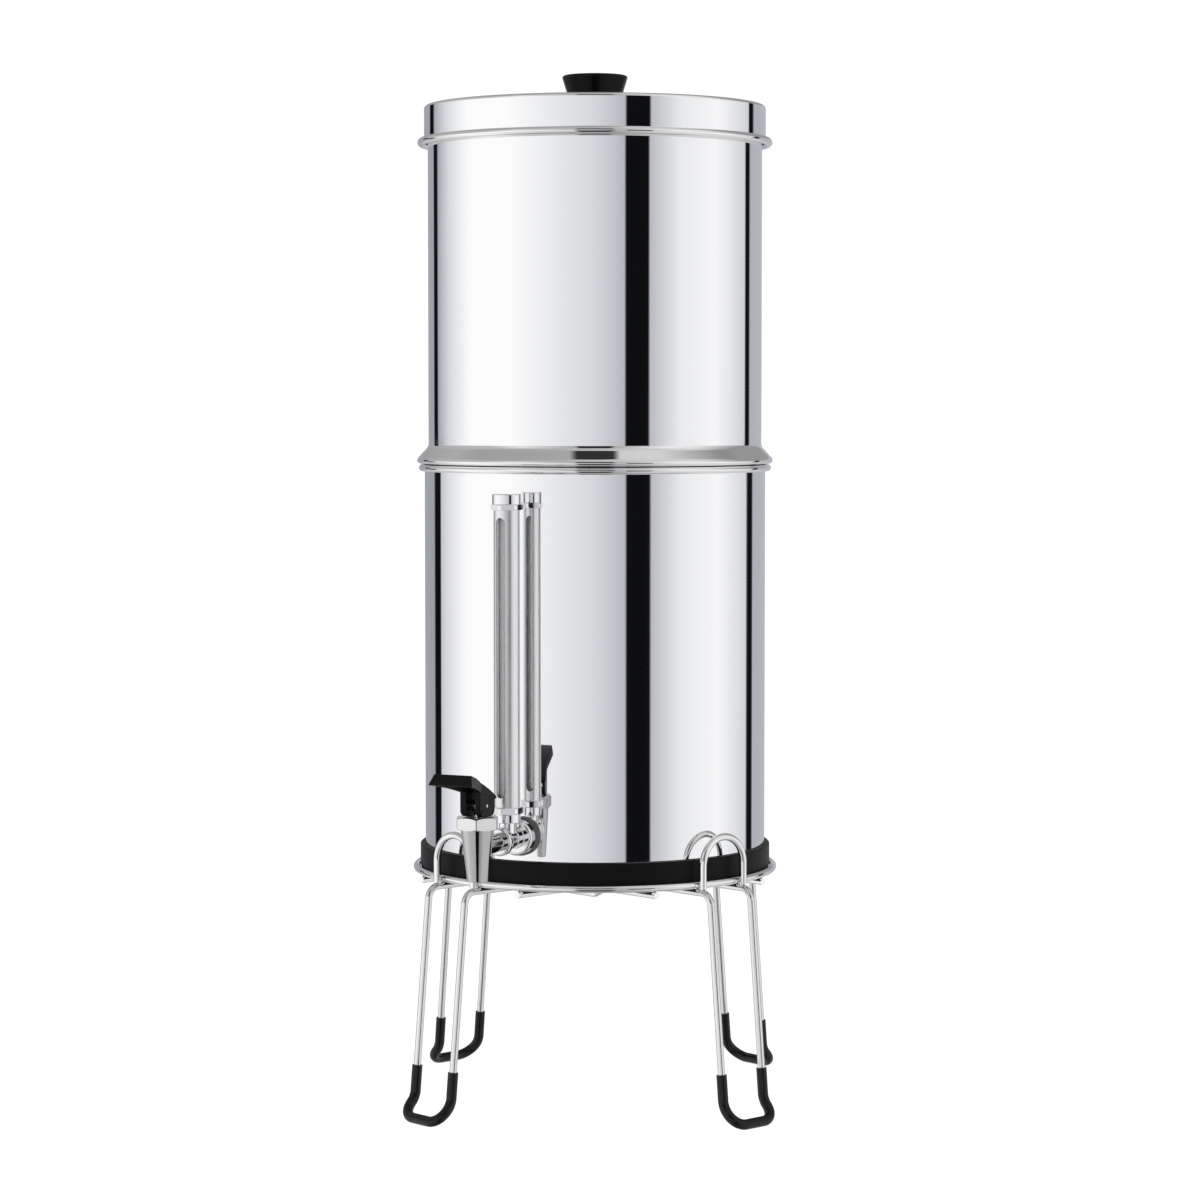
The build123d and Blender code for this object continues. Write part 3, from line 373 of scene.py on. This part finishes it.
for number, turn in enumerate(legTurns, start=1):
    dips = number % 2 == 0
    side = stand["legSide"]
    out = levelRun(turn, side, dips, stand["legReach"])
    back = levelRun(turn, -side, dips, stand["legReach"])[::-1]
    foot = [
        standPoint(turn, stand["ankleReach"], side, stand["ankleHeight"]),
        standPoint(turn, stand["footReach"], side, stand["footHeight"]),
        standPoint(turn, stand["footReach"], -side, stand["footHeight"]),
        standPoint(turn, stand["ankleReach"], -side, stand["ankleHeight"]),
    ]
    joggles = [stand["joggleBend"]] * (len(out) - 2)
    footBends = [stand["ankleBend"], stand["footBend"], stand["footBend"], stand["ankleBend"]]
    bends = joggles + [stand["legBend"]] + footBends + [stand["legBend"]] + joggles
    makeWire(f"legWire{number}", out + foot + back, bends, f"leg_wire_{number}", legChrome)

    loopTop = stand["loopCrown"]
    loopPoints = [
        standPoint(turn, stand["loopReach"], side, stand["loopFoot"]),
        standPoint(turn, stand["loopReach"], side, loopTop),
        standPoint(turn, stand["loopReach"], -side, loopTop),
        standPoint(turn, stand["loopReach"], -side, stand["loopFoot"]),
    ]
    # The bends meet in the middle, so the crown is one half circle.
    loopBends = [side * 0.999, side * 0.999]
    makeWire(f"retainingLoop{number}", loopPoints, loopBends, f"retaining_loop_{number}", chromeWire)

rodPieces = []
for turn, dips in ((legTurns[0], False), (legTurns[1], True)):
    for side in (-stand["rodSide"], stand["rodSide"]):
        half = levelRun(turn, side, dips, stand["rodReach"])[1:]
        farHalf = levelRun(turn + 180, -side, dips, stand["rodReach"])[:0:-1]
        rod = drawLine("crossRod", farHalf + half)
        bendCorners(rod, farHalf + half, [stand["joggleBend"]] * 4 if dips else [])
        rod = tubeAlong(rod, stand["wire"])
        roundEnds(rod, stand["rodRounding"], 4)
        bpy.ops.object.mode_set(mode='OBJECT')
        rodPieces.append(rod)
bpy.ops.object.select_all(action='DESELECT')
for rod in rodPieces:
    rod.select_set(True)
bpy.context.view_layer.objects.active = rodPieces[0]
bpy.ops.object.join()
crossRods = bpy.context.object
crossRods.name = "crossRods"
fitPiece(crossRods, "stand", "chrome_wire", chromeWire, "cross_rods")

ringPoints = [(stand["ringRadius"] - stand["wire"], 0, stand["ringHeight"])]
supportRing = drawLine("supportRing", ringPoints)
curlEnd(supportRing, ringPoints[0], (stand["ringRadius"], 0, stand["ringHeight"]), 360, 24)
latheLine(supportRing)
fitPiece(supportRing, "stand", "chrome_wire", chromeWire, "support_ring", degrees=80)
print("wire stand made")


# Rubber sleeves on the feet

sleeve = {"radius": 0.0032, "top": 0.033, "rounding": 0.0007}
lean = (stand["ankleReach"] - stand["legReach"]) / (stand["rodHeight"] - stand["ankleHeight"])
for number, turn in enumerate(legTurns, start=1):
    side = stand["legSide"]
    topReach = stand["legReach"] + (stand["rodHeight"] - sleeve["top"]) * lean
    path = [(topReach, sleeve["top"]), (stand["ankleReach"], stand["ankleHeight"]),
            (stand["footReach"], stand["footHeight"])]
    points = [standPoint(turn, reach, side, height) for reach, height in path]
    points += [standPoint(turn, reach, -side, height) for reach, height in reversed(path)]
    foot = drawLine(f"footSleeve{number}", points)
    bendCorners(foot, points, footBends)
    # Solid rubber: the leg's wire runs inside it, unseen.
    foot = tubeAlong(foot, sleeve["radius"])
    roundEnds(foot, sleeve["rounding"], 5)
    # The foot is worn flat where it stands.
    bpy.ops.mesh.select_all(action='SELECT')
    bpy.ops.mesh.bisect(plane_co=(0, 0, 0), plane_no=(0, 0, 1), clear_inner=True, use_fill=True, threshold=0.000001)
    bpy.ops.object.mode_set(mode='OBJECT')
    fitPiece(foot, "stand", "sleeve_rubber", sleeveRubber, f"foot_sleeve_{number}", degrees=45)
print("foot sleeves made")


# Rubber boot

boot = {"radius": 0.1107, "lip": 0.0907, "bottom": 0.1447, "top": 0.1619, "floor": 0.1469, "seat": 0.1075}
bootPoints = [
    (boot["lip"], 0, boot["floor"]),
    (boot["lip"], 0, boot["bottom"]),
    (boot["radius"], 0, boot["bottom"]),
    (boot["radius"], 0, boot["top"]),
    (boot["seat"], 0, boot["top"]),
    (boot["seat"], 0, boot["floor"]),
    (boot["lip"], 0, boot["floor"]),
]
baseBoot = drawLine("baseBoot", bootPoints)
bendCorners(baseBoot, bootPoints, [0.0004, 0.004, 0.001, 0.0006, 0.0064], segments=8)
latheLine(baseBoot)
fitPiece(baseBoot, "lower_vessel", "boot_rubber", bootRubber, "base_boot")
print("boot made")


# Steel chambers and lid, drawn as the middle of their sheet

def makeShell(name, points, bends, curl, sheet=0.0008):
    shell = drawLine(name, points)
    bendCorners(shell, points, bends)
    if curl:
        curlEnd(shell, points[-1], *curl)
    latheLine(shell)
    addModifier(shell, 'SOLIDIFY', thickness=sheet, offset=0, use_even_offset=True)
    return shell


lower = {"radius": 0.1071, "floor": 0.1473, "corner": 0.006, "rim": 0.3991, "curl": 0.0018}
lowerPoints = [(0, 0, lower["floor"]), (lower["radius"], 0, lower["floor"]), (lower["radius"], 0, lower["rim"])]
rimCentre = (lower["radius"] + lower["curl"], 0, lower["rim"])
lowerChamber = makeShell("lowerChamber", lowerPoints, [lower["corner"]], (rimCentre, -300, 40))
fitPiece(lowerChamber, "lower_vessel", "polished_steel", mirrorSteel, "lower_chamber")

upper = {
    "radius": 0.1046, "floor": 0.3765, "corner": 0.006, "ledge": 0.402, "nose": 0.114341,
    "ledgeTop": 0.4123, "root": 0.0012, "noseBend": 0.0023, "blend": 0.005, "rim": 0.6199, "hem": 0.0005,
}
upperPoints = [
    (0, 0, upper["floor"]),
    (upper["radius"], 0, upper["floor"]),
    (upper["radius"], 0, upper["ledge"]),
    (upper["nose"], 0, upper["ledge"]),
    (upper["radius"], 0, upper["ledgeTop"]),
    (upper["radius"], 0, upper["rim"]),
]
hemCentre = (upper["radius"] + upper["hem"], 0, upper["rim"])
upperBends = [upper["corner"], upper["root"], upper["noseBend"], upper["blend"]]
upperChamber = makeShell("upperChamber", upperPoints, upperBends, (hemCentre, -180, 8))
fitPiece(upperChamber, "upper_vessel", "polished_steel", mirrorSteel, "upper_chamber")

cover = {"radius": 0.1069, "top": 0.6251, "hole": 0.00265, "corner": 0.0016, "rim": 0.6027, "curl": 0.0021}
coverPoints = [
    (cover["hole"], 0, cover["top"]),
    (cover["radius"], 0, cover["top"]),
    (cover["radius"], 0, cover["rim"]),
]
coverCentre = (cover["radius"] + cover["curl"], 0, cover["rim"])
lidCover = makeShell("lidCover", coverPoints, [cover["corner"]], (coverCentre, 300, 40))
fitPiece(lidCover, "lid", "polished_steel", mirrorSteel, "lid")
print("chambers and lid made")


# Knob

knob = {"foot": 0.015, "top": 0.021, "bottom": 0.6255, "height": 0.01935, "footBend": 0.0004, "edge": 0.0016}
knobTop = knob["bottom"] + knob["height"]
knobPoints = [
    (0, 0, knob["bottom"]),
    (knob["foot"], 0, knob["bottom"]),
    (knob["top"], 0, knobTop),
    (0, 0, knobTop),
]
lidKnob = drawLine("lidKnob", knobPoints)
bendCorners(lidKnob, knobPoints, [knob["footBend"], knob["edge"]], segments=10)
latheLine(lidKnob, steps=128)
fitPiece(lidKnob, "lid", "knob_plastic", knobPlastic, "lid_knob", degrees=50)
print("knob made")


# Turned fittings. A profile is a list of (radius, distance along the axis) in millimetres.

tapLine = {"height": 0.1773, "sightReach": 0.128, "valveReach": 0.1683, "cutterDepth": 0.04}
fittings = {"sightNut": 0.018, "wallNut": 0.02, "bonnet": 0.0238, "bonnetTurn": 23.2, "softening": 0.0003}


def turnUpright(name, reach, profile, bends=(), steps=96, segments=5):
    # Turned about the upright axis that stands this far out from the chamber's own.
    points = [Vector((radius / 1000, -reach, height / 1000)) for radius, height in profile]
    piece = drawLine(name, points)
    bendCorners(piece, points, [bend / 1000 for bend in bends], segments)
    latheLine(piece, steps, (0, -reach, 0))
    return piece


def turnOutward(name, profile, bends=(), steps=96, segments=5):
    # Turned about the tap line, which runs straight out of the chamber's wall.
    points = [Vector((radius / 1000, -reach / 1000, tapLine["height"])) for radius, reach in profile]
    piece = drawLine(name, points)
    bendCorners(piece, points, [bend / 1000 for bend in bends], segments)
    latheLine(piece, steps, (0, 0, tapLine["height"]), (0, 1, 0))
    return piece


def turnSideways(name, middle, profile, bends=(), steps=64, segments=4):
    # Turned about the lever's pin.
    points = [Vector((side / 1000, middle[1], middle[2] + radius / 1000)) for radius, side in profile]
    piece = drawLine(name, points)
    bendCorners(piece, points, [bend / 1000 for bend in bends], segments)
    latheLine(piece, steps, middle, (1, 0, 0))
    return piece


def hexBlank(name, width, middle, depth, turn, lying=False):
    # A hexagonal bar with rounded corners, one of them facing outwards before it is turned.
    rotation = (math.radians(90), math.radians(turn), 0) if lying else (0, 0, math.radians(turn))
    bpy.ops.object.select_all(action='DESELECT')
    bpy.ops.mesh.primitive_cylinder_add(
        vertices=6, radius=width / math.sqrt(3), depth=depth, location=middle, rotation=rotation
    )
    bar = bpy.context.object
    bar.name = name
    bar.data.name = name
    bpy.ops.object.transform_apply(location=True, rotation=True, scale=True)
    softenEdges(bar, fittings["softening"])
    return bar


sightReach, valveReach = tapLine["sightReach"], tapLine["valveReach"]

wallSeal = turnOutward("wallSeal", [(6, 105), (11.8, 105), (11.8, 110.5), (6, 110.5), (6, 105)], [0, 0.35])
bpy.ops.object.select_all(action='DESELECT')
bpy.ops.mesh.primitive_cylinder_add(
    vertices=256, radius=boot["seat"], depth=tapLine["cutterDepth"], location=(0, 0, tapLine["height"])
)
shapeWith(wallSeal, bpy.context.object, 'DIFFERENCE')
fitPiece(wallSeal, "lower_vessel", "seal_rubber", sealGrey, "wall_washer_outer")

teeProfile = [
    (3.5, 94.7), (6, 94.7), (6, 110.5), (11, 110.5), (11, 117.5), (6.3, 117.5), (6.3, 136.5), (4.6, 136.5),
    (4.6, 131.5), (3.5, 131.5), (3.5, 94.7),
]
sightTee = turnOutward("sightTee", teeProfile, [0.4, 0, 0.3, 2.0, 0.4, 0.25], segments=8)
neckProfile = [
    (3, 178.5), (5, 178.5), (5, 187.9), (8.1, 187.9), (8.1, 193.3), (6.5, 193.3), (6.5, 195.3), (3, 195.3),
    (3, 178.5),
]
sightNeck = turnUpright("sightNeck", sightReach, neckProfile, [0, 0.3, 0.5, 0.4])
shapeWith(sightTee, sightNeck, 'UNION')
fitPiece(sightTee, "lower_vessel", "tap_metal", tapChrome, "sight_tee")

washerProfile = [(5.7, 136.5), (8.6, 136.5), (8.6, 137.5), (5.7, 137.5), (5.7, 136.5)]
tapWasher = turnOutward("tapWasher", washerProfile, [0.25, 0.25])
fitPiece(tapWasher, "lower_vessel", "tap_metal", tapChrome, "tap_washer")

collarProfile = [(5.7, 137.5), (8.6, 137.5), (8.6, 141), (5.7, 141), (5.7, 137.5)]
tapCollar = turnOutward("tapCollar", collarProfile, [0.3, 1.6], segments=10)
fitPiece(tapCollar, "lower_vessel", "tap_metal", tapChrome, "tap_collar")

coneProfile = [(4.2, 157.2), (6.1, 157.2), (9.95, 188.4), (6.5, 188.4), (6.5, 173.3), (4.2, 173.3), (4.2, 157.2)]
tapBody = turnUpright("tapBody", valveReach, coneProfile, [0.6, 0.15], steps=128)
shankProfile = [(3, 131.5), (4.6, 131.5), (4.6, 136.5), (5.7, 136.5), (5.7, 161), (3, 161), (3, 131.5)]
shapeWith(tapBody, turnOutward("tapShank", shankProfile), 'UNION')
fitPiece(tapBody, "lower_vessel", "tap_metal", coneChrome, "tap_body")


def makeNut(name, width, profile, node, material, slot, reach=None, turn=0):
    # A turned blank with slanting ends, kept where the hexagonal bar is.
    heights = [distance / 1000 for radius, distance in profile]
    middle, depth = (min(heights) + max(heights)) / 2, max(heights) - min(heights) + 0.004
    if reach is None:
        nut = turnOutward(name, profile)
        bar = hexBlank("hexBar", width, (0, -middle, tapLine["height"]), depth, turn, lying=True)
    else:
        nut = turnUpright(name, reach, profile)
        bar = hexBlank("hexBar", width, (0, -reach, middle), depth, turn)
    shapeWith(nut, bar, 'INTERSECT')
    fitPiece(nut, "lower_vessel", slot, material, node, degrees=14)
    return nut


bonnetProfile = [
    (2.05, 183.4), (6.5, 183.4), (6.5, 188.4), (11.9, 188.4), (13.76, 189.4), (13.76, 194.8), (11.9, 195.8),
    (2.05, 195.8), (2.05, 183.4),
]
tapBonnet = makeNut("tapBonnet", fittings["bonnet"], bonnetProfile, "tap_bonnet", satinSteel, "satin_steel",
                    valveReach, fittings["bonnetTurn"])
# Its rounded corners, which stand out past the flats and face between them, take a dark steel: a painted dark
# reflection along each corner.
tapBonnet.data.materials.append(darkReflectionSteel)
for face in tapBonnet.data.polygons:
    outward = face.center - Vector((0, -valveReach, face.center.z))
    facing = (math.degrees(math.atan2(face.normal.y, face.normal.x)) - fittings["bonnetTurn"]) % 60
    if outward.length > fittings["bonnet"] / 2 and abs(face.normal.z) < 0.1 and 5 < facing < 55:
        face.material_index = 1
bottomNutProfile = [
    (6.5, 193.3), (8.8, 193.3), (9.8, 193.8), (9.8, 196.9), (8.8, 197.4), (5.1, 197.4), (5.1, 195.3), (6.5, 195.3),
    (6.5, 193.3),
]
makeNut("sightBottomNut", fittings["sightNut"], bottomNutProfile, "sight_bottom_nut", tapChrome, "tap_metal",
        sightReach)
topNutProfile = [
    (5.1, 375.95), (8.8, 375.95), (9.8, 376.45), (9.8, 378.9), (8.8, 379.4), (5.1, 379.4), (5.1, 375.95),
]
makeNut("sightTopNut", fittings["sightNut"], topNutProfile, "sight_top_nut", tapChrome, "tap_metal", sightReach)
wallNutProfile = [
    (6, 98.7), (10, 98.7), (11.56, 99.3), (11.56, 103.1), (10, 103.7), (6, 103.7), (6, 98.7),
]
makeNut("wallNut", fittings["wallNut"], wallNutProfile, "wall_nut", tapChrome, "tap_metal", turn=30)

capProfile = [(0, 382.9), (5.1, 382.9), (5.1, 379.4), (8.8, 379.4), (8.8, 385.65), (0, 385.65)]
sightCap = turnUpright("sightCap", sightReach, capProfile, [0, 0, 0.2, 0.6], segments=6)
fitPiece(sightCap, "lower_vessel", "tap_metal", tapChrome, "sight_cap")

window = {"bottom": 0.2031, "top": 0.37135, "width": 0.0062, "turn": -5, "softening": 0.00015}
shieldProfile = [(7.2, 197.4), (7.9, 197.4), (7.9, 375.95), (7.2, 375.95), (7.2, 197.4)]
sightShield = turnUpright("sightShield", sightReach, shieldProfile, steps=128)
bpy.ops.object.select_all(action='DESELECT')
bpy.ops.mesh.primitive_cylinder_add(
    vertices=64, radius=window["width"] / 2, depth=0.03,
    location=(0, -sightReach, window["bottom"] + window["width"] / 2),
    rotation=(math.radians(90), 0, math.radians(window["turn"])),
)
windowCutter = bpy.context.object
bpy.ops.object.transform_apply(location=True, rotation=True, scale=True)
pickParts(windowCutter.data.vertices, lambda vertex: vertex.co.z > window["bottom"] + window["width"] / 2)
bpy.ops.transform.translate(value=(0, 0, window["top"] - window["bottom"] - window["width"]))
bpy.ops.object.mode_set(mode='OBJECT')
shapeWith(sightShield, windowCutter, 'DIFFERENCE')
softenEdges(sightShield, window["softening"], degrees=50)
fitPiece(sightShield, "lower_vessel", "polished_steel", brushedSteel, "sight_shield")

glassProfile = [(4, 196.3), (5, 196.3), (5, 381.9), (4, 381.9), (4, 196.3)]
sightGlass = turnUpright("sightGlass", sightReach, glassProfile, [0.2, 0.2], steps=64)
fitPiece(sightGlass, "lower_vessel", "glass_tube", clearGlass, "sight_tube")
print("tap line and sight glass made")


# Valve stem and lever

pinPoint = (0, -valveReach, 0.20245)
stemProfile = [(0, 175), (2, 175), (2, 200.2), (0, 200.2)]
valveStem = turnUpright("valveStem", valveReach, stemProfile, [0.3], steps=64)
eyeProfile = [(1.25, -2.75), (3.4, -2.75), (3.4, 2.75), (1.25, 2.75), (1.25, -2.75)]
shapeWith(valveStem, turnSideways("stemEye", pinPoint, eyeProfile, [0.35, 0.35]), 'UNION')
fitPiece(valveStem, "stem", "tap_metal", tapChrome, "valve_stem")

pinProfile = [(0, -6.65), (1.2, -6.65), (1.2, 6.65), (0, 6.65)]
leverPin = turnSideways("leverPin", pinPoint, pinProfile, [0.35, 0.35])
fitPiece(leverPin, "lever", "spring_steel", pinSteel, "lever_pin")

tapLever = copyNode("tap_lever", "tapLever")
fitPiece(tapLever, "lever", "lever_plastic", leverPlastic, "tap_lever", degrees=30)

knobScrew = copyNode("knob_screw", "knobScrew")
fitPiece(knobScrew, "lid", "spring_steel", springSteel, "knob_screw", degrees=30)
print("valve and lever made")

plainNodes = {
    "wall_washer_inner": sealSilicone,
    "sight_seals": sealSilicone,
    "filter_seals": sealSilicone,
    "seat_cup": sealSilicone,
    "valve_spring": springSteel,
    "knob_washer": springSteel,
    "filter_base_1": filterPlastic,
    "filter_base_2": filterPlastic,
    "filter_cap_1": filterPlastic,
    "filter_cap_2": filterPlastic,
    "wing_nuts": filterPlastic,
    "carbon_block_1": carbonBlock,
    "carbon_block_2": carbonBlock,
}
for node, material in plainNodes.items():
    nodes[node].data.materials.clear()
    nodes[node].data.materials.append(material)
print("hidden pieces given their materials")


# Studio: a white room with dark cards, pale floor and camera

studio = {
    "azimuth": 24.4,
    "white": 1.03,
    "cardLevel": 0.005,
    "overheadLevel": 0.03,
    "underfootLevel": 0.35,
    "floorRadius": 40,
    "floorGlow": 0.95,
}
# Where one part of the room fades into the next: the upward share of the direction looked in.
fades = {
    "lowerWalls": (-0.012, -0.02),
    "low": (-0.15, -0.26),
    "high": (0.12, 0.2),
    "ceiling": (0.55, 0.75),
    "overhead": (0.985, 0.992),
    "underfoot": (-0.75, -0.9),
}

# The room round the camera's direction: degrees to its right, and how bright its softboxes are there.
wallBoxes = (
    (-180, 0.4), (-140, 0.35), (-120, 0.7), (-95, 1.0), (-60, 1.0), (-30, 0.85), (0, 0.7), (20, 0.5),
    (40, 0.55), (60, 0.85), (90, 0.95), (125, 0.65), (135, 0.45), (180, 0.5),
)
lowBoxes = (
    (-180, 0.45), (-135, 0.6), (-95, 0.95), (-55, 0.7), (-15, 0.6), (15, 0.35), (50, 0.7), (110, 0.7), (180, 0.45),
)
highBoxes = (
    (-180, 0.3), (-120, 0.45), (-80, 0.5), (-55, 0.75), (-15, 0.4), (15, 0.4), (55, 0.85), (80, 0.75), (120, 0.3),
    (180, 0.3),
)
ceilingBoxes = ((-180, 0.3), (-60, 0.4), (60, 0.6), (100, 0.65), (135, 0.2), (180, 0.3))

# Black cards hang in front of the softboxes, each from one edge to the other. The chambers differ in radius
# and height, so each looks at its own cards.
upperCards = ((-147, -138), (20.5, 37), (125.5, 133.5))
lowerCards = ((-138, -127), (20.5, 37.5), (123.5, 132.5))
tableCards = ((-13, 13),)


def levelAt(boxes, degrees):
    for (start, first), (end, second) in zip(boxes, boxes[1:]):
        if start <= degrees <= end:
            return first + (second - first) * (degrees - start) / (end - start)


def bandRamp(tree, source, boxes, cards=(), softness=0.4, blue=0.0):
    # Softboxes with their cards in front. The darker a place, the more blue it takes.
    bands = [
        band for band in boxes
        if not any(left - softness <= band[0] <= right + softness for left, right in cards)
    ]
    for left, right in cards:
        bands += [(left - softness, levelAt(boxes, left)), (left + softness, studio["cardLevel"])]
        bands += [(right - softness, studio["cardLevel"]), (right + softness, levelAt(boxes, right))]
    ramp = tree.nodes.new("ShaderNodeValToRGB")
    stops = ramp.color_ramp.elements
    for index, (degrees, level) in enumerate(sorted(bands)):
        place = (degrees + 180) / 360
        stop = stops[index] if index < 2 else stops.new(place)
        stop.position = place
        shade = blue * (1 - level)
        stop.color = (level * (1 - 0.8 * shade), level * (1 - 0.3 * shade), level * (1 + 1.1 * shade), 1)
    tree.links.new(source, ramp.inputs["Fac"])
    return ramp.outputs["Color"]


def spread(tree, source, low, high):
    node = tree.nodes.new("ShaderNodeMapRange")
    node.interpolation_type = 'SMOOTHSTEP'
    node.inputs["From Min"].default_value = low
    node.inputs["From Max"].default_value = high
    tree.links.new(source, node.inputs["Value"])
    return node.outputs["Result"]


def blendColors(tree, factor, first, second):
    node = tree.nodes.new("ShaderNodeMix")
    node.data_type = 'RGBA'
    tree.links.new(factor, node.inputs["Factor"])
    for socket, value in (("A", first), ("B", second)):
        target = [item for item in node.inputs if item.name == socket and item.type == 'RGBA'][0]
        if isinstance(value, tuple):
            target.default_value = value
        else:
            tree.links.new(value, target)
    return [item for item in node.outputs if item.type == 'RGBA'][0]


world = bpy.data.worlds.new("studioRoom")
bpy.context.scene.world = world
world.use_nodes = True
tree = world.node_tree
coordinates = tree.nodes.new("ShaderNodeTexCoord")
turnRoom = tree.nodes.new("ShaderNodeMapping")
turnRoom.inputs["Rotation"].default_value = (0, 0, -math.radians(studio["azimuth"]))
tree.links.new(coordinates.outputs["Generated"], turnRoom.inputs["Vector"])
axes = tree.nodes.new("ShaderNodeSeparateXYZ")
tree.links.new(turnRoom.outputs["Vector"], axes.inputs["Vector"])
towards = tree.nodes.new("ShaderNodeMath")
towards.operation = 'MULTIPLY'
towards.inputs[1].default_value = -1
tree.links.new(axes.outputs["Y"], towards.inputs[0])
around = tree.nodes.new("ShaderNodeMath")
around.operation = 'ARCTAN2'
tree.links.new(axes.outputs["X"], around.inputs[0])
tree.links.new(towards.outputs["Value"], around.inputs[1])
place = tree.nodes.new("ShaderNodeMapRange")
place.inputs["From Min"].default_value = -math.pi
place.inputs["From Max"].default_value = math.pi
tree.links.new(around.outputs["Value"], place.inputs["Value"])
upperWalls = bandRamp(tree, place.outputs["Result"], wallBoxes, upperCards, blue=0.1)
lowerWalls = bandRamp(tree, place.outputs["Result"], wallBoxes, lowerCards, blue=0.1)
low = bandRamp(tree, place.outputs["Result"], lowBoxes, tableCards, softness=1.2)
high = bandRamp(tree, place.outputs["Result"], highBoxes, tableCards, softness=1.2)
ceiling = bandRamp(tree, place.outputs["Result"], ceilingBoxes)
height = axes.outputs["Z"]
overhead = (*[studio["overheadLevel"]] * 3, 1)
underfoot = (*[studio["underfootLevel"]] * 3, 1)
room = blendColors(tree, spread(tree, height, *fades["lowerWalls"]), upperWalls, lowerWalls)
room = blendColors(tree, spread(tree, height, *fades["low"]), room, low)
room = blendColors(tree, spread(tree, height, *fades["high"]), room, high)
room = blendColors(tree, spread(tree, height, *fades["ceiling"]), room, ceiling)
room = blendColors(tree, spread(tree, height, *fades["overhead"]), room, overhead)
room = blendColors(tree, spread(tree, height, *fades["underfoot"]), room, underfoot)
rays = tree.nodes.new("ShaderNodeLightPath")
plain = tree.nodes.new("ShaderNodeMath")
plain.operation = 'MAXIMUM'
tree.links.new(rays.outputs["Is Camera Ray"], plain.inputs[0])
tree.links.new(rays.outputs["Is Diffuse Ray"], plain.inputs[1])
room = blendColors(tree, plain.outputs["Value"], room, (1, 1, 1, 1))
background = tree.nodes["Background"]
tree.links.new(room, background.inputs["Color"])
background.inputs["Strength"].default_value = studio["white"]

floorMaterial = newMaterial("studioFloor", (0.15, 0.15, 0.15), roughness=0.9, Specular_IOR_Level=0.0)
floorShader = floorMaterial.node_tree.nodes["Principled BSDF"]
floorShader.inputs["Emission Color"].default_value = (1, 1, 1, 1)
floorShader.inputs["Emission Strength"].default_value = studio["floorGlow"]
bpy.ops.object.select_all(action='DESELECT')
bpy.ops.mesh.primitive_circle_add(vertices=96, radius=studio["floorRadius"], fill_type='NGON', location=(0, 0, 0))
studioFloor = bpy.context.object
studioFloor.name = "studioFloor"
studioFloor.data.materials.append(floorMaterial)
studioFloor.visible_glossy = False

view = {"distance": 2.2, "azimuth": 24.4, "height": 0.44393, "down": 3.3505, "right": 0.0827, "lens": 104.39}
cameraData = bpy.data.cameras.new("studioCamera")
cameraData.sensor_width = 36
cameraData.sensor_fit = 'HORIZONTAL'
cameraData.lens = view["lens"]
cameraData.clip_end = 200
camera = bpy.data.objects.new("studioCamera", cameraData)
bpy.context.scene.collection.objects.link(camera)
turn = math.radians(view["azimuth"])
camera.location = (view["distance"] * math.sin(turn), -view["distance"] * math.cos(turn), view["height"])
camera.rotation_euler = (math.radians(90 - view["down"]), 0, turn - math.radians(view["right"]))
bpy.context.scene.camera = camera
bpy.context.scene.view_settings.view_transform = 'Standard'
print("studio set")
